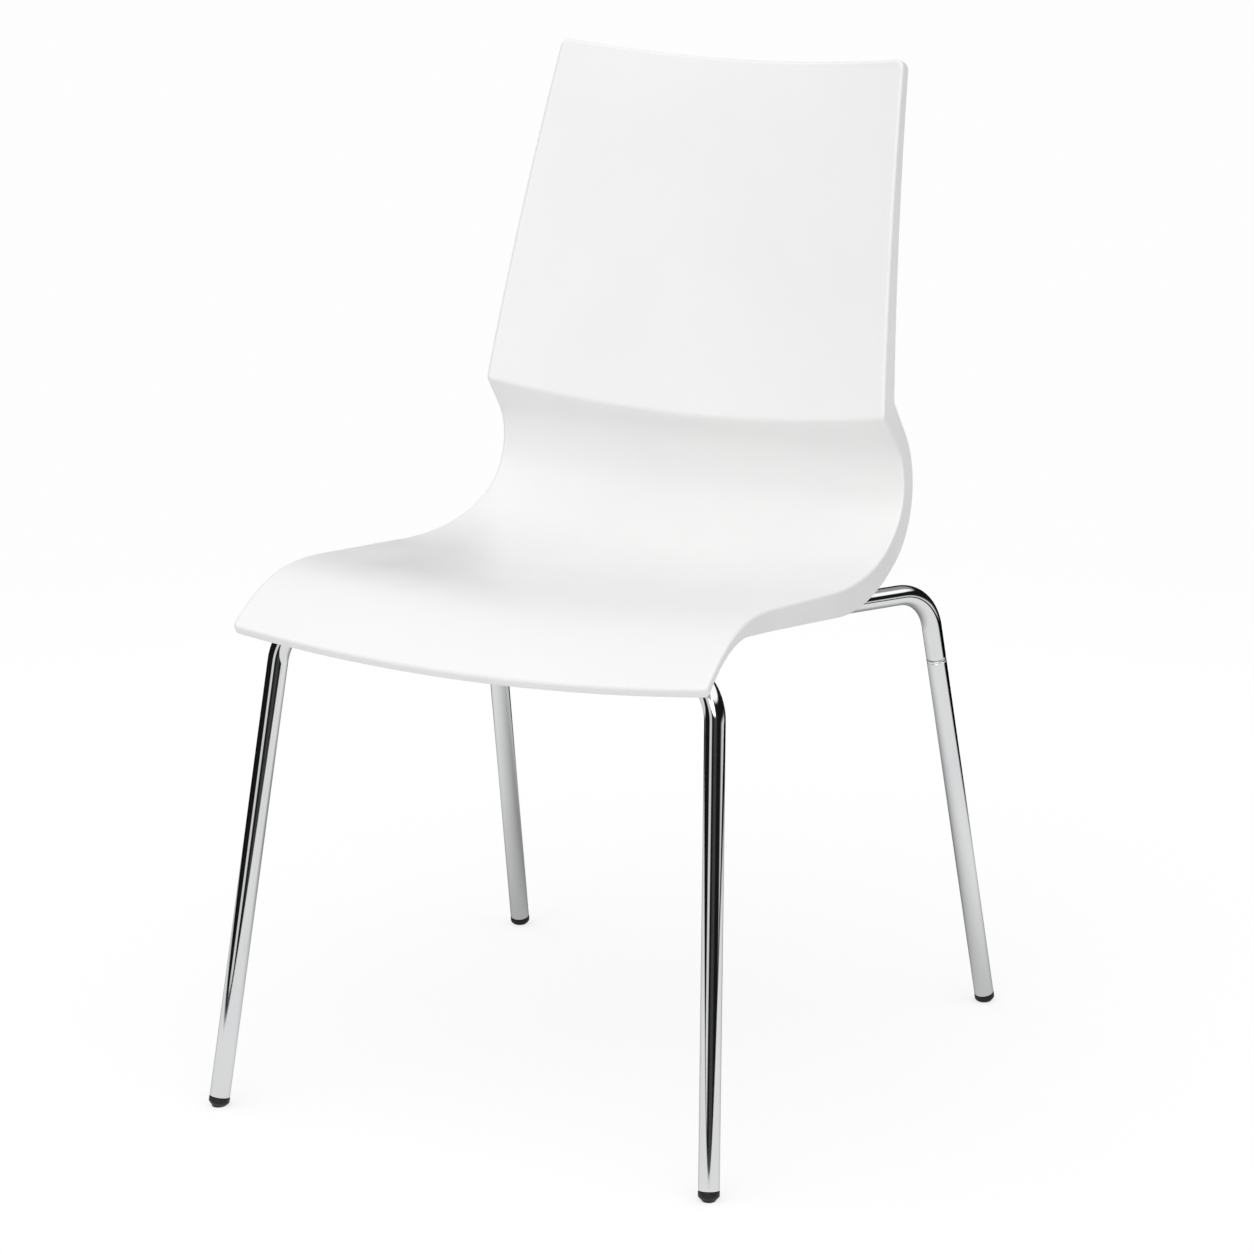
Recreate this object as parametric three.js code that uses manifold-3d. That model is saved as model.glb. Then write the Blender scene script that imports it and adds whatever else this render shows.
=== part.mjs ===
// Stacking chair: a one-piece moulded shell screwed to a bent tube frame with four splayed legs.
// Units are millimetres. +Z is up, the chair faces -Y, and the floor is at Z = 0.
// Inside this file Y is measured from the front feet; the finished group is moved so that the
// origin lies on the floor, midway between the front and the rear of the chair.
import * as THREE from 'three';
import { mergeVertices } from 'three/addons/utils/BufferGeometryUtils.js';
import Module from 'manifold-3d';

const wasm = await Module();
wasm.setup();

// ---- driving dimensions ------------------------------------------------------------------------

const GAP = 0.3; // clearance between touching pieces

// Frame tube
const TUBE_R = 8.5;
const TUBE_WALL = 1.5;
const BORE_R = TUBE_R - TUBE_WALL;
const BEND_R = 45; // centre line radius of every bend
const BEND_STEPS = 8;
const TUBE_SIDES = 24;
const SMALL_SIDES = 20;

// Front legs: foot position, and how far the leg moves in and back for each millimetre of height
const FRONT_FOOT_X = 226.6;
const FRONT_LEAN_IN = 0.0746;
const FRONT_LEAN_BACK = 0.169;
const CROSS_BAR_Z = 411;

// Rear legs
const REAR_FOOT_X = 234.7;
const REAR_FOOT_Y = 534.1;
const REAR_LEAN_IN = 0.0551;
const REAR_LEAN_FORWARD = 0.2443;
const MIDDLE_Y = 266.87; // halfway from the front of the front feet to the back of the rear feet
const REAR_CORNER_Z = 392.5; // where the centre lines of leg and arm meet
const ARM_END_X = 68; // where the arm meets the front cross bar
const SEAM_Z = 331; // joint between the leg tube and the arm tube
const SPIGOT_BELOW = 30; // reach of the spigot below and above the joint
const SPIGOT_ABOVE = 22;

// Rear cross tube
const TIE_Y = 268;
const TIE_R = 7;
const TIE_WALL = 1.2;

// Feet
const FOOT_BAND_R = 8.7;
const FOOT_BASE_R = 5.4;
const FOOT_CHAMFER = 3.4;
const FOOT_HEIGHT = 7.6;
const FOOT_PLUG_LENGTH = 19;

// Shell outline in the side view, as [Y, Z]: the upper edge (deck) and the lower edge of the side
// walls (skirt). The two outlines run in the same pieces from the top of the back to the front.
const DECK_TOP = [487.5, 834.1];
const DECK_CREASE = [396.7, 546.5];
const SKIRT_TOP = [499.3, 829.9];
const SKIRT_CREASE = [418.7, 557];
const BACK_BOW = 5; // how far the back panel bows forward of a straight line
const HIP_CENTRE = [385, 487];
const HIP_R = 47.3;
const HIP_FROM = 39.7; // degrees above the horizontal
const HIP_TO = -57;
const SKIRT_HIP_CENTRE = [381, 484];
const SKIRT_HIP_R = 71.5;
const SKIRT_HIP_FROM = 33.1;
const SKIRT_HIP_TO = -68;
const DECK_SEAT = [[364, 416.9], [265, 428.4]]; // control point and end of the rear of the seat
const SKIRT_SEAT = [[350.3, 394.5], [280.2, 404.5]];
const DECK_MID = [150, 441.6];
const SKIRT_MID = [150, 423.1];
const DECK_CROWN = [[115, 445.5], [92, 442.6]];
const SKIRT_CROWN = [95, 431];
const DECK_NOSE = [[55.3, 438], [17.3, 407.9]];
const SKIRT_NOSE = [[52.3, 429.5], [21.2, 400.4]];

// Shell across: half width, sideways shape and wall sizes
const HALF_WIDTH = {
  top: 162.2, crease: 189.4, hip: 191.5, hipEnd: 195,
  seat: 205.5, mid: 206.6, crown: 209.6, nose: 214,
};
const SAG = { // how far the middle lies behind [Y] and below [Z] the side edges
  top: [11.4, -10.2], crease: [8.5, -16], hip: [12, -9], hipEnd: [7, -11],
  seat: [0, -8], mid: [0, -8], crown: [-2, -9], nose: [-6.4, -11.3],
};
const SKIN = 5; // thickness of the moulded skin
const RIM = 5; // thickness of the side walls and end walls
const DRAFT = 1.2;
const CORNER_R = { top: 7, nose: 5 };
const ACROSS = 14; // facets across the shell

// Fixings
const TAB = { length: 30, reach: 27, thickness: 3, holeIn: 13 };
const FRONT_TAB_X = 112;
const REAR_TAB_Y = 305;
const FRONT_TAB_TOP = 416;
const REAR_TAB_TOP = 404;
const BOSS_R = 9;
const SCREW_R = 3;
const HEAD_R = 5.6;
const HEAD_HEIGHT = 3.4;
const WASHER_R = 7;
const WASHER_THICKNESS = 1.2;
const INSERT_R = 4.4;
const INSERT_LENGTH = 9;
const SCREW_BITE = 8; // length of screw inside the insert

// Stacking pads
const PAD = { width: 22, wall: 3, openHalfAngle: 68, front: 140, arm: 0.54 };

// ---- materials ---------------------------------------------------------------------------------

function finish(color, roughness, metalness) {
  return new THREE.MeshStandardMaterial({ color, roughness, metalness });
}

const WHITE_PLASTIC = () => finish(0xf0f0f0, 0.45, 0);
const CHROME = () => finish(0xd8d9db, 0.06, 1);
const STEEL = () => finish(0xa8a9ab, 0.4, 1);
const BRASS = () => finish(0xb59a55, 0.35, 1);
const BLACK_PLASTIC = () => finish(0x161617, 0.55, 0);
const GREY_PLASTIC = () => finish(0x8c8c8e, 0.6, 0);

const chair = new THREE.Group();

function place(name, geometry, material, matrix) {
  const mesh = new THREE.Mesh(geometry, material);
  mesh.name = name;
  if (matrix) matrix.decompose(mesh.position, mesh.quaternion, mesh.scale);
  chair.add(mesh);
  return mesh;
}

// ---- solids ------------------------------------------------------------------------------------

function solidOf(geometry) {
  const bare = geometry.clone();
  for (const name of Object.keys(bare.attributes)) {
    if (name !== 'position') bare.deleteAttribute(name);
  }
  const merged = mergeVertices(bare, 1e-3);
  const mesh = new wasm.Mesh({
    numProp: 3,
    vertProperties: new Float32Array(merged.attributes.position.array),
    triVerts: new Uint32Array(merged.index.array),
  });
  return new wasm.Manifold(mesh);
}

function geometryOf(solid) {
  const mesh = solid.getMesh();
  const geometry = new THREE.BufferGeometry();
  geometry.setAttribute('position', new THREE.BufferAttribute(new Float32Array(mesh.vertProperties), 3));
  geometry.setIndex(new THREE.BufferAttribute(new Uint32Array(mesh.triVerts), 1));
  return geometry;
}

function cylinder(radius, from, to, sides = TUBE_SIDES) {
  const axis = new THREE.Vector3().subVectors(to, from);
  const geometry = new THREE.CylinderGeometry(radius, radius, axis.length(), sides);
  const up = new THREE.Vector3(0, 1, 0);
  const turn = new THREE.Quaternion().setFromUnitVectors(up, axis.clone().normalize());
  geometry.applyQuaternion(turn);
  const middle = new THREE.Vector3().addVectors(from, to).multiplyScalar(0.5);
  return geometry.translate(middle.x, middle.y, middle.z);
}

function lathe(outline, sides = TUBE_SIDES) {
  const points = outline.map(([r, h]) => new THREE.Vector2(r, h));
  return new THREE.LatheGeometry(points, sides).rotateX(Math.PI / 2);
}

// A ring section turned about +Z, from its inner radius to its outer radius.
function ring(inner, outer, height, sides = TUBE_SIDES) {
  return lathe([[inner, 0], [outer, 0], [outer, height], [inner, height], [inner, 0]], sides);
}

// ---- tubes -------------------------------------------------------------------------------------

// A path of straight runs joined by bends. It has one step for each straight run and BEND_STEPS
// for each bend, so that bends are smooth and straight runs cost nothing.
class BentPath extends THREE.Curve {
  constructor(corners, radius) {
    super();
    this.stations = [];
    this.addStation(corners[0], direction(corners[0], corners[1]));
    for (let i = 1; i < corners.length - 1; i++) {
      this.addBend(corners[i - 1], corners[i], corners[i + 1], radius);
    }
    const last = corners.length - 1;
    this.addStation(corners[last], direction(corners[last - 1], corners[last]));
  }

  get steps() {
    return this.stations.length - 1;
  }

  addStation(point, tangent) {
    this.stations.push({ point: point.clone(), tangent: tangent.clone() });
  }

  addBend(before, corner, after, radius) {
    const into = direction(before, corner);
    const out = direction(corner, after);
    const turn = into.angleTo(out);
    const side = out.clone().addScaledVector(into, -out.dot(into)).normalize();
    const start = corner.clone().addScaledVector(into, -radius * Math.tan(turn / 2));
    for (let i = 0; i <= BEND_STEPS; i++) {
      const angle = (turn * i) / BEND_STEPS;
      const point = start.clone()
        .addScaledVector(into, radius * Math.sin(angle))
        .addScaledVector(side, radius * (1 - Math.cos(angle)));
      const tangent = into.clone().multiplyScalar(Math.cos(angle)).addScaledVector(side, Math.sin(angle));
      this.addStation(point, tangent);
    }
  }

  station(u) {
    return this.stations[Math.round(u * this.steps)];
  }

  getPoint(u) {
    return this.station(u).point.clone();
  }

  getPointAt(u) {
    return this.getPoint(u);
  }

  getTangentAt(u) {
    return this.station(u).tangent.clone();
  }
}

function direction(from, to) {
  return new THREE.Vector3().subVectors(to, from).normalize();
}

function tube(corners, outer, inner) {
  const path = new BentPath(corners, BEND_R);
  const section = new THREE.Shape().absarc(0, 0, outer, 0, 2 * Math.PI);
  if (inner > 0) section.holes.push(new THREE.Path().absarc(0, 0, inner, 0, 2 * Math.PI, true));
  return new THREE.ExtrudeGeometry(section, {
    steps: path.steps,
    extrudePath: path,
    bevelEnabled: false,
    curveSegments: TUBE_SIDES / 2,
  });
}

// ---- leg and arm lines -------------------------------------------------------------------------

function frontLeg(side, z) {
  return new THREE.Vector3(side * (FRONT_FOOT_X - FRONT_LEAN_IN * z), FRONT_LEAN_BACK * z, z);
}

function rearLeg(side, z) {
  return new THREE.Vector3(side * (REAR_FOOT_X - REAR_LEAN_IN * z), REAR_FOOT_Y - REAR_LEAN_FORWARD * z, z);
}

// The point on a leg line that lies a given distance along the leg from the floor.
function along(leg, side, distance) {
  const foot = leg(side, 0);
  return foot.addScaledVector(direction(foot, leg(side, 1)), distance);
}

const CROSS_BAR_Y = FRONT_LEAN_BACK * CROSS_BAR_Z;
const rearCorner = (side) => rearLeg(side, REAR_CORNER_Z);
const armEnd = (side) => new THREE.Vector3(side * ARM_END_X, CROSS_BAR_Y, CROSS_BAR_Z);
const armDirection = (side) => direction(rearCorner(side), armEnd(side));

function armPoint(side, y) {
  const start = rearCorner(side);
  const run = armDirection(side);
  return start.addScaledVector(run, (y - start.y) / run.y);
}

const SIDES = [['left', 1], ['right', -1]];
const TUBE_START = FOOT_HEIGHT + GAP;

// ---- front frame -------------------------------------------------------------------------------

function frontCorners() {
  return [
    along(frontLeg, 1, TUBE_START),
    frontLeg(1, CROSS_BAR_Z),
    frontLeg(-1, CROSS_BAR_Z),
    along(frontLeg, -1, TUBE_START),
  ];
}

const frontFrame = tube(frontCorners(), TUBE_R, BORE_R);
const frontFrameCutter = solidOf(tube(frontCorners(), TUBE_R + GAP, 0));
place('front_leg_frame', frontFrame, CHROME());

// ---- rear arms, legs and spigots ---------------------------------------------------------------

const seamAlong = (side) => rearLeg(side, SEAM_Z).distanceTo(rearLeg(side, 0));

function armCorners(side) {
  return [along(rearLeg, side, seamAlong(side) + GAP / 2), rearCorner(side), armEnd(side)];
}

const armCutters = {};

for (const [word, side] of SIDES) {
  const arm = solidOf(tube(armCorners(side), TUBE_R, BORE_R)).subtract(frontFrameCutter);
  armCutters[word] = solidOf(tube(armCorners(side), TUBE_R + GAP, 0));
  place(`rear_arm_tube_${word}`, geometryOf(arm), CHROME());

  const seam = seamAlong(side);
  const legEnds = [along(rearLeg, side, TUBE_START), along(rearLeg, side, seam - GAP / 2)];
  place(`rear_leg_tube_${word}`, tube(legEnds, TUBE_R, BORE_R), CHROME());

  const spigotEnds = [along(rearLeg, side, seam - SPIGOT_BELOW), along(rearLeg, side, seam + SPIGOT_ABOVE)];
  place(`rear_leg_spigot_${word}`, cylinder(BORE_R - GAP, ...spigotEnds, 16), STEEL());
}

// ---- rear cross tube ---------------------------------------------------------------------------

function tieSolid() {
  const ends = [armPoint(1, TIE_Y), armPoint(-1, TIE_Y)];
  return solidOf(tube(ends, TIE_R, TIE_R - TIE_WALL)).subtract(armCutters.left).subtract(armCutters.right);
}

place('rear_cross_tube', geometryOf(tieSolid()), CHROME());

// ---- feet --------------------------------------------------------------------------------------

const FLOOR_BELOW = solidOf(new THREE.BoxGeometry(1000, 1200, 40).translate(0, REAR_FOOT_Y / 2, -20));

function footSolid(leg, side) {
  const outline = [
    [0, -FOOT_CHAMFER], [FOOT_BASE_R, -FOOT_CHAMFER], [FOOT_BASE_R, 0], [FOOT_BAND_R, FOOT_CHAMFER],
    [FOOT_BAND_R, FOOT_HEIGHT], [BORE_R - GAP, FOOT_HEIGHT], [BORE_R - GAP, FOOT_HEIGHT + FOOT_PLUG_LENGTH],
    [0, FOOT_HEIGHT + FOOT_PLUG_LENGTH],
  ];
  const foot = leg(side, 0);
  const up = new THREE.Vector3(0, 0, 1);
  const turn = new THREE.Quaternion().setFromUnitVectors(up, direction(foot, leg(side, 1)));
  const geometry = lathe(outline).applyQuaternion(turn).translate(foot.x, foot.y, foot.z);
  return solidOf(geometry).subtract(FLOOR_BELOW);
}

for (const [word, side] of SIDES) {
  place(`foot_plug_front_${word}`, geometryOf(footSolid(frontLeg, side)), BLACK_PLASTIC());
  place(`foot_plug_rear_${word}`, geometryOf(footSolid(rearLeg, side)), BLACK_PLASTIC());
}

// ---- fixings -----------------------------------------------------------------------------------

// Each fixing: a tab beside its tube, and the upright screw axis through the tab.
function fixings() {
  const list = [];
  for (const [word, side] of SIDES) {
    const frontTab = new THREE.Vector3(side * FRONT_TAB_X, CROSS_BAR_Y, FRONT_TAB_TOP);
    list.push({ name: `front_${word}`, root: frontTab, outward: new THREE.Vector3(0, 1, 0) });
    const arm = armPoint(side, REAR_TAB_Y);
    const run = armDirection(side);
    const inward = new THREE.Vector3(-side * Math.abs(run.y), Math.abs(run.x), 0).normalize();
    list.push({ name: `rear_${word}`, root: new THREE.Vector3(arm.x, arm.y, REAR_TAB_TOP), outward: inward });
  }
  for (const fixing of list) {
    fixing.axis = fixing.root.clone().addScaledVector(fixing.outward, TUBE_R + TAB.holeIn);
  }
  return list;
}

function tabSolid({ root, outward, axis }) {
  const reach = TUBE_R + TAB.reach;
  const box = new THREE.BoxGeometry(reach, TAB.length, TAB.thickness);
  box.translate(reach / 2, 0, -TAB.thickness / 2);
  box.applyQuaternion(new THREE.Quaternion().setFromUnitVectors(new THREE.Vector3(1, 0, 0), outward));
  box.translate(root.x, root.y, root.z);
  const below = axis.clone().setZ(root.z - 2 * TAB.thickness);
  const above = axis.clone().setZ(root.z + TAB.thickness);
  const hole = solidOf(cylinder(SCREW_R + GAP, below, above, SMALL_SIDES));
  return solidOf(box)
    .subtract(frontFrameCutter)
    .subtract(armCutters.left)
    .subtract(armCutters.right)
    .subtract(hole);
}

function screwGeometry() {
  const top = TAB.thickness + WASHER_THICKNESS + 3 * GAP + SCREW_BITE;
  return lathe([
    [0, -HEAD_HEIGHT], [HEAD_R * 0.7, -HEAD_HEIGHT], [HEAD_R, -HEAD_HEIGHT * 0.55], [HEAD_R, 0],
    [SCREW_R, 0], [SCREW_R, top - 1], [SCREW_R - 0.8, top], [0, top],
  ], SMALL_SIDES);
}

const FIXINGS = fixings();

for (const fixing of FIXINGS) {
  const { name, axis } = fixing;
  const under = axis.z - TAB.thickness - GAP - WASHER_THICKNESS;
  const washer = ring(SCREW_R + GAP, WASHER_R, WASHER_THICKNESS, SMALL_SIDES);
  const insert = ring(SCREW_R + GAP, INSERT_R, INSERT_LENGTH, SMALL_SIDES);
  place(`mount_tab_${name}`, geometryOf(tabSolid(fixing)), STEEL());
  place(`mount_washer_${name}`, washer.translate(axis.x, axis.y, under), STEEL());
  place(`mount_screw_${name}`, screwGeometry().translate(axis.x, axis.y, under - GAP), STEEL());
  place(`thread_insert_${name}`, insert.translate(axis.x, axis.y, axis.z + GAP), BRASS());
}

// ---- stacking pads -----------------------------------------------------------------------------

function padGeometry() {
  const inner = TUBE_R + 1.5 * GAP;
  const outer = inner + PAD.wall;
  const open = THREE.MathUtils.degToRad(PAD.openHalfAngle);
  const from = Math.PI / 2 + open;
  const to = (5 * Math.PI) / 2 - open;
  const section = new THREE.Shape().absarc(0, 0, outer, from, to);
  section.absarc(0, 0, inner, to, from, true);
  section.closePath();
  const settings = { depth: PAD.width, bevelEnabled: false, curveSegments: 10 };
  return new THREE.ExtrudeGeometry(section, settings).translate(0, 0, -PAD.width / 2);
}

// Turns the pad so that its length follows the tube and its opening faces up.
function padMatrix(point, run) {
  const across = new THREE.Vector3().crossVectors(new THREE.Vector3(0, 0, 1), run).normalize();
  const up = new THREE.Vector3().crossVectors(run, across);
  return new THREE.Matrix4().makeBasis(across, up, run).setPosition(point);
}

for (const [word, side] of SIDES) {
  const onBar = new THREE.Vector3(side * PAD.front, CROSS_BAR_Y, CROSS_BAR_Z);
  const alongBar = new THREE.Vector3(1, 0, 0);
  place(`stack_pad_front_${word}`, padGeometry(), GREY_PLASTIC(), padMatrix(onBar, alongBar));
  const onArm = rearCorner(side).lerp(armEnd(side), PAD.arm);
  place(`stack_pad_rear_${word}`, padGeometry(), GREY_PLASTIC(), padMatrix(onArm, armDirection(side)));
}

// ---- shell -------------------------------------------------------------------------------------

const vec2 = ([y, z]) => new THREE.Vector2(y, z);
const line = (a, b) => new THREE.LineCurve(vec2(a), vec2(b));
const curve = (a, control, b) => new THREE.QuadraticBezierCurve(vec2(a), vec2(control), vec2(b));

function onCircle([y, z], radius, degrees) {
  const angle = THREE.MathUtils.degToRad(degrees);
  return [y + radius * Math.cos(angle), z + radius * Math.sin(angle)];
}

function arc([y, z], radius, from, to) {
  const [start, end] = [from, to].map(THREE.MathUtils.degToRad);
  return new THREE.EllipseCurve(y, z, radius, radius, start, end, true);
}

// The back panel as a shallow curve that bows towards the sitter.
function bowed(a, b, bow) {
  const run = vec2(b).sub(vec2(a)).normalize();
  const middle = vec2(a).add(vec2(b)).multiplyScalar(0.5);
  return curve(a, [middle.x + 2 * bow * run.y, middle.y - 2 * bow * run.x], b);
}

// The pieces of the side outline, top of the back first: deck curve, skirt curve, number of steps,
// and the names of the cross shapes at the piece's two ends.
function outline() {
  const hipStart = onCircle(HIP_CENTRE, HIP_R, HIP_FROM);
  const hipEnd = onCircle(HIP_CENTRE, HIP_R, HIP_TO);
  const skirtHipStart = onCircle(SKIRT_HIP_CENTRE, SKIRT_HIP_R, SKIRT_HIP_FROM);
  const skirtHipEnd = onCircle(SKIRT_HIP_CENTRE, SKIRT_HIP_R, SKIRT_HIP_TO);
  return [
    [bowed(DECK_TOP, DECK_CREASE, BACK_BOW), bowed(SKIRT_TOP, SKIRT_CREASE, BACK_BOW), 9, 'top', 'crease'],
    [line(DECK_CREASE, hipStart), line(SKIRT_CREASE, skirtHipStart), 2, 'crease', 'hip'],
    [arc(HIP_CENTRE, HIP_R, HIP_FROM, HIP_TO),
      arc(SKIRT_HIP_CENTRE, SKIRT_HIP_R, SKIRT_HIP_FROM, SKIRT_HIP_TO), 9, 'hip', 'hipEnd'],
    [curve(hipEnd, ...DECK_SEAT), curve(skirtHipEnd, ...SKIRT_SEAT), 6, 'hipEnd', 'seat'],
    [line(DECK_SEAT[1], DECK_MID), line(SKIRT_SEAT[1], SKIRT_MID), 3, 'seat', 'mid'],
    [curve(DECK_MID, ...DECK_CROWN), line(SKIRT_MID, SKIRT_CROWN), 4, 'mid', 'crown'],
    [curve(DECK_CROWN[1], ...DECK_NOSE), curve(SKIRT_CROWN, ...SKIRT_NOSE), 7, 'crown', 'nose'],
  ];
}

// Cross sections from the top of the back to the front edge.
function stations() {
  const list = [];
  const ease = (t) => t * t * (3 - 2 * t);
  outline().forEach(([deck, skirt, steps, from, to], piece) => {
    for (let i = piece === 0 ? 0 : 1; i <= steps; i++) {
      const t = i / steps;
      const sag = vec2(SAG[from]).lerp(vec2(SAG[to]), ease(t));
      const halfWidth = THREE.MathUtils.lerp(HALF_WIDTH[from], HALF_WIDTH[to], t);
      list.push({ deck: deck.getPoint(t), skirt: skirt.getPoint(t), sag, halfWidth });
    }
  });
  return list;
}

// A station between two others.
function between(a, b, t) {
  return {
    deck: a.deck.clone().lerp(b.deck, t),
    skirt: a.skirt.clone().lerp(b.skirt, t),
    sag: a.sag.clone().lerp(b.sag, t),
    halfWidth: THREE.MathUtils.lerp(a.halfWidth, b.halfWidth, t),
  };
}

// Adds the rounded corner and the end wall to one end of the shell: stations near the end, narrowed
// by the corner radius, with the skin as deep as the side walls over the thickness of the end wall.
function endStations(end, next, cornerRadius) {
  const length = end.deck.distanceTo(next.deck);
  const distances = [0, cornerRadius * 0.13, cornerRadius * 0.5, RIM, RIM + DRAFT];
  return distances.map((distance) => {
    const station = between(end, next, distance / length);
    const short = Math.max(0, cornerRadius - distance);
    station.halfWidth -= cornerRadius - Math.sqrt(cornerRadius ** 2 - short ** 2);
    station.solid = distance <= RIM;
    return station;
  });
}

function shellStations() {
  const all = stations();
  const last = all.length - 1;
  return [
    ...endStations(all[0], all[1], CORNER_R.top),
    ...all.slice(1, last),
    ...endStations(all[last], all[last - 1], CORNER_R.nose).reverse(),
  ];
}

// One closed cross section: deck from right to left, then the left wall, the underside, the right wall.
function section({ deck, skirt, sag, halfWidth, solid }) {
  const wall = skirt.clone().sub(deck);
  const depth = wall.length();
  const down = wall.normalize();
  const under = solid ? depth : SKIN;
  const inner = halfWidth - RIM;
  const foot = inner - DRAFT;
  const at = (x, extra) => {
    const share = 1 - Math.min(1, Math.abs(x) / halfWidth) ** 2;
    return [x, deck.x + sag.x * share + down.x * extra, deck.y + sag.y * share + down.y * extra];
  };
  const ringPoints = [];
  for (let i = 0; i <= ACROSS; i++) ringPoints.push(at(halfWidth * ((2 * i) / ACROSS - 1), 0));
  ringPoints.push(at(halfWidth, depth), at(inner, depth));
  for (let i = 0; i <= ACROSS; i++) ringPoints.push(at(foot * (1 - (2 * i) / ACROSS), under));
  ringPoints.push(at(-inner, depth), at(-halfWidth, depth));
  return ringPoints;
}

function capTriangles(ringSize, base, flip) {
  const triangles = [];
  const deckCount = ACROSS + 1;
  const underStart = deckCount + 2;
  const add = (a, b, c) => triangles.push(...(flip ? [a, c, b] : [a, b, c]).map((v) => v + base));
  for (let i = 0; i < ACROSS; i++) {
    const a = i;
    const b = i + 1;
    const c = underStart + ACROSS - i;
    const d = underStart + ACROSS - i - 1;
    add(a, b, d);
    add(a, d, c);
  }
  const right = [ACROSS, ACROSS + 1, ACROSS + 2, underStart];
  add(right[0], right[1], right[2]);
  add(right[0], right[2], right[3]);
  const left = [0, underStart + ACROSS, ringSize - 2, ringSize - 1];
  add(left[0], left[1], left[2]);
  add(left[0], left[2], left[3]);
  return triangles;
}

function shellGeometry() {
  const rings = shellStations().map(section);
  const size = rings[0].length;
  const index = [...capTriangles(size, 0, false)];
  for (let r = 0; r < rings.length - 1; r++) {
    for (let i = 0; i < size; i++) {
      const a = r * size + i;
      const b = r * size + ((i + 1) % size);
      index.push(a, a + size, b, b, a + size, b + size);
    }
  }
  index.push(...capTriangles(size, (rings.length - 1) * size, true));
  const geometry = new THREE.BufferGeometry();
  geometry.setAttribute('position', new THREE.Float32BufferAttribute(rings.flat(2), 3));
  geometry.setIndex(index);
  return geometry;
}

// The shell with a boss above each fixing, bored for its thread insert.
function shellSolid() {
  let shell = solidOf(shellGeometry());
  for (const { axis } of FIXINGS) {
    const at = (z) => axis.clone().setZ(z);
    const foot = axis.z + GAP;
    const boss = cylinder(BOSS_R, at(foot), at(skinMiddle(axis)));
    const bore = cylinder(INSERT_R + GAP, at(foot - 1), at(foot + INSERT_LENGTH + GAP), SMALL_SIDES);
    shell = shell.add(solidOf(boss)).subtract(solidOf(bore));
  }
  return shell;
}

// Height of the middle of the skin above a point under the seat. The seat is the last stretch of the
// outline to pass over that point.
function skinMiddle({ x, y }) {
  const list = stations();
  const after = list.findLastIndex(({ deck }) => deck.x > y) + 1;
  const [a, b] = [list[after - 1], list[after]];
  const station = between(a, b, (a.deck.x - y) / (a.deck.x - b.deck.x));
  return station.deck.y + station.sag.y * (1 - (x / station.halfWidth) ** 2) - SKIN / 2;
}

place('seat_shell', geometryOf(shellSolid()), WHITE_PLASTIC());

// ---- assembly ----------------------------------------------------------------------------------

chair.position.y = -MIDDLE_Y;
const group = new THREE.Group();
group.add(chair);

export default group;
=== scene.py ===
"""Stacking chair: the finished surfaces, materials, light and camera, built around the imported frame.

Shapes are worked out in the design's own units: millimetres, +Z up, with Y measured from the front
feet. to_frame() turns them into the frame's metres. The outline called deck is the upper surface of
the shell in the side view, and the outline called skirt is the lower edge of its side walls.
"""

import math

import bmesh
import bpy
import numpy as np
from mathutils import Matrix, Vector


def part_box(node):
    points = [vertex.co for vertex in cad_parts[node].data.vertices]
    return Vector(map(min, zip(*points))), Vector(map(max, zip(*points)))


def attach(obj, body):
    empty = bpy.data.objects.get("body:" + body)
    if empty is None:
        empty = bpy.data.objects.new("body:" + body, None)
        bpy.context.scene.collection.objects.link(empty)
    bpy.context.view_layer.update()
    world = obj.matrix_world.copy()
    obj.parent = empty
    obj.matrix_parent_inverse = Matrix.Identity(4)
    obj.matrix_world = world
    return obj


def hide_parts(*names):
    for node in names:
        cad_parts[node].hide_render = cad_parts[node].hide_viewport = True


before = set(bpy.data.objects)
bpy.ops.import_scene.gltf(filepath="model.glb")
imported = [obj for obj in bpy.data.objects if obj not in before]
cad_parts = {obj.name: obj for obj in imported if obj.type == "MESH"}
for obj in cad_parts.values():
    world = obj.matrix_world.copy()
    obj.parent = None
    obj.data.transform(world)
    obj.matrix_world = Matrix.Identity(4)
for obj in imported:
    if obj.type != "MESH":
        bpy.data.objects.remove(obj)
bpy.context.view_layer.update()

# ---- driving dimensions ------------------------------------------------------------------------

MM = 0.001
MIDDLE_Y = 266.87  # the frame's origin, measured back from the front feet
GAP = 0.3

TUBE_R = 8.5
BORE_R = 7
EDGE = 0.8  # rounding of a cut tube end
BEND_R = 45
BEND_STEP = 3  # degrees between two rings of a bend
STEADY = 1  # distance to the ring that keeps the shading of a straight run straight
TUBE_SIDES = 64
LATHE_SIDES = 48
BEAD_SIDES = 10
QUARTER_TURN = [math.radians(a) for a in (0, 30, 60, 90)]  # the steps of a rounding

FRONT_FOOT_X = 226.6
FRONT_LEAN_IN = 0.0746
FRONT_LEAN_BACK = 0.169
CROSS_BAR_Z = 411
CROSS_BAR_Y = FRONT_LEAN_BACK * CROSS_BAR_Z

REAR_FOOT_X = 234.7
REAR_FOOT_Y = 534.1
REAR_LEAN_IN = 0.0551
REAR_LEAN_FORWARD = 0.2443
REAR_CORNER_Z = 392.5
ARM_END_X = 68
SEAM_Z = 331
SEAM_COLLAR = 2.6  # width of the turned collar under the joint of a rear leg
GROOVE = 0.3  # depth and half width of the groove below it

TIE_Y = 268
TIE_R = 7
TIE_BORE_R = 5.8

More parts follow.
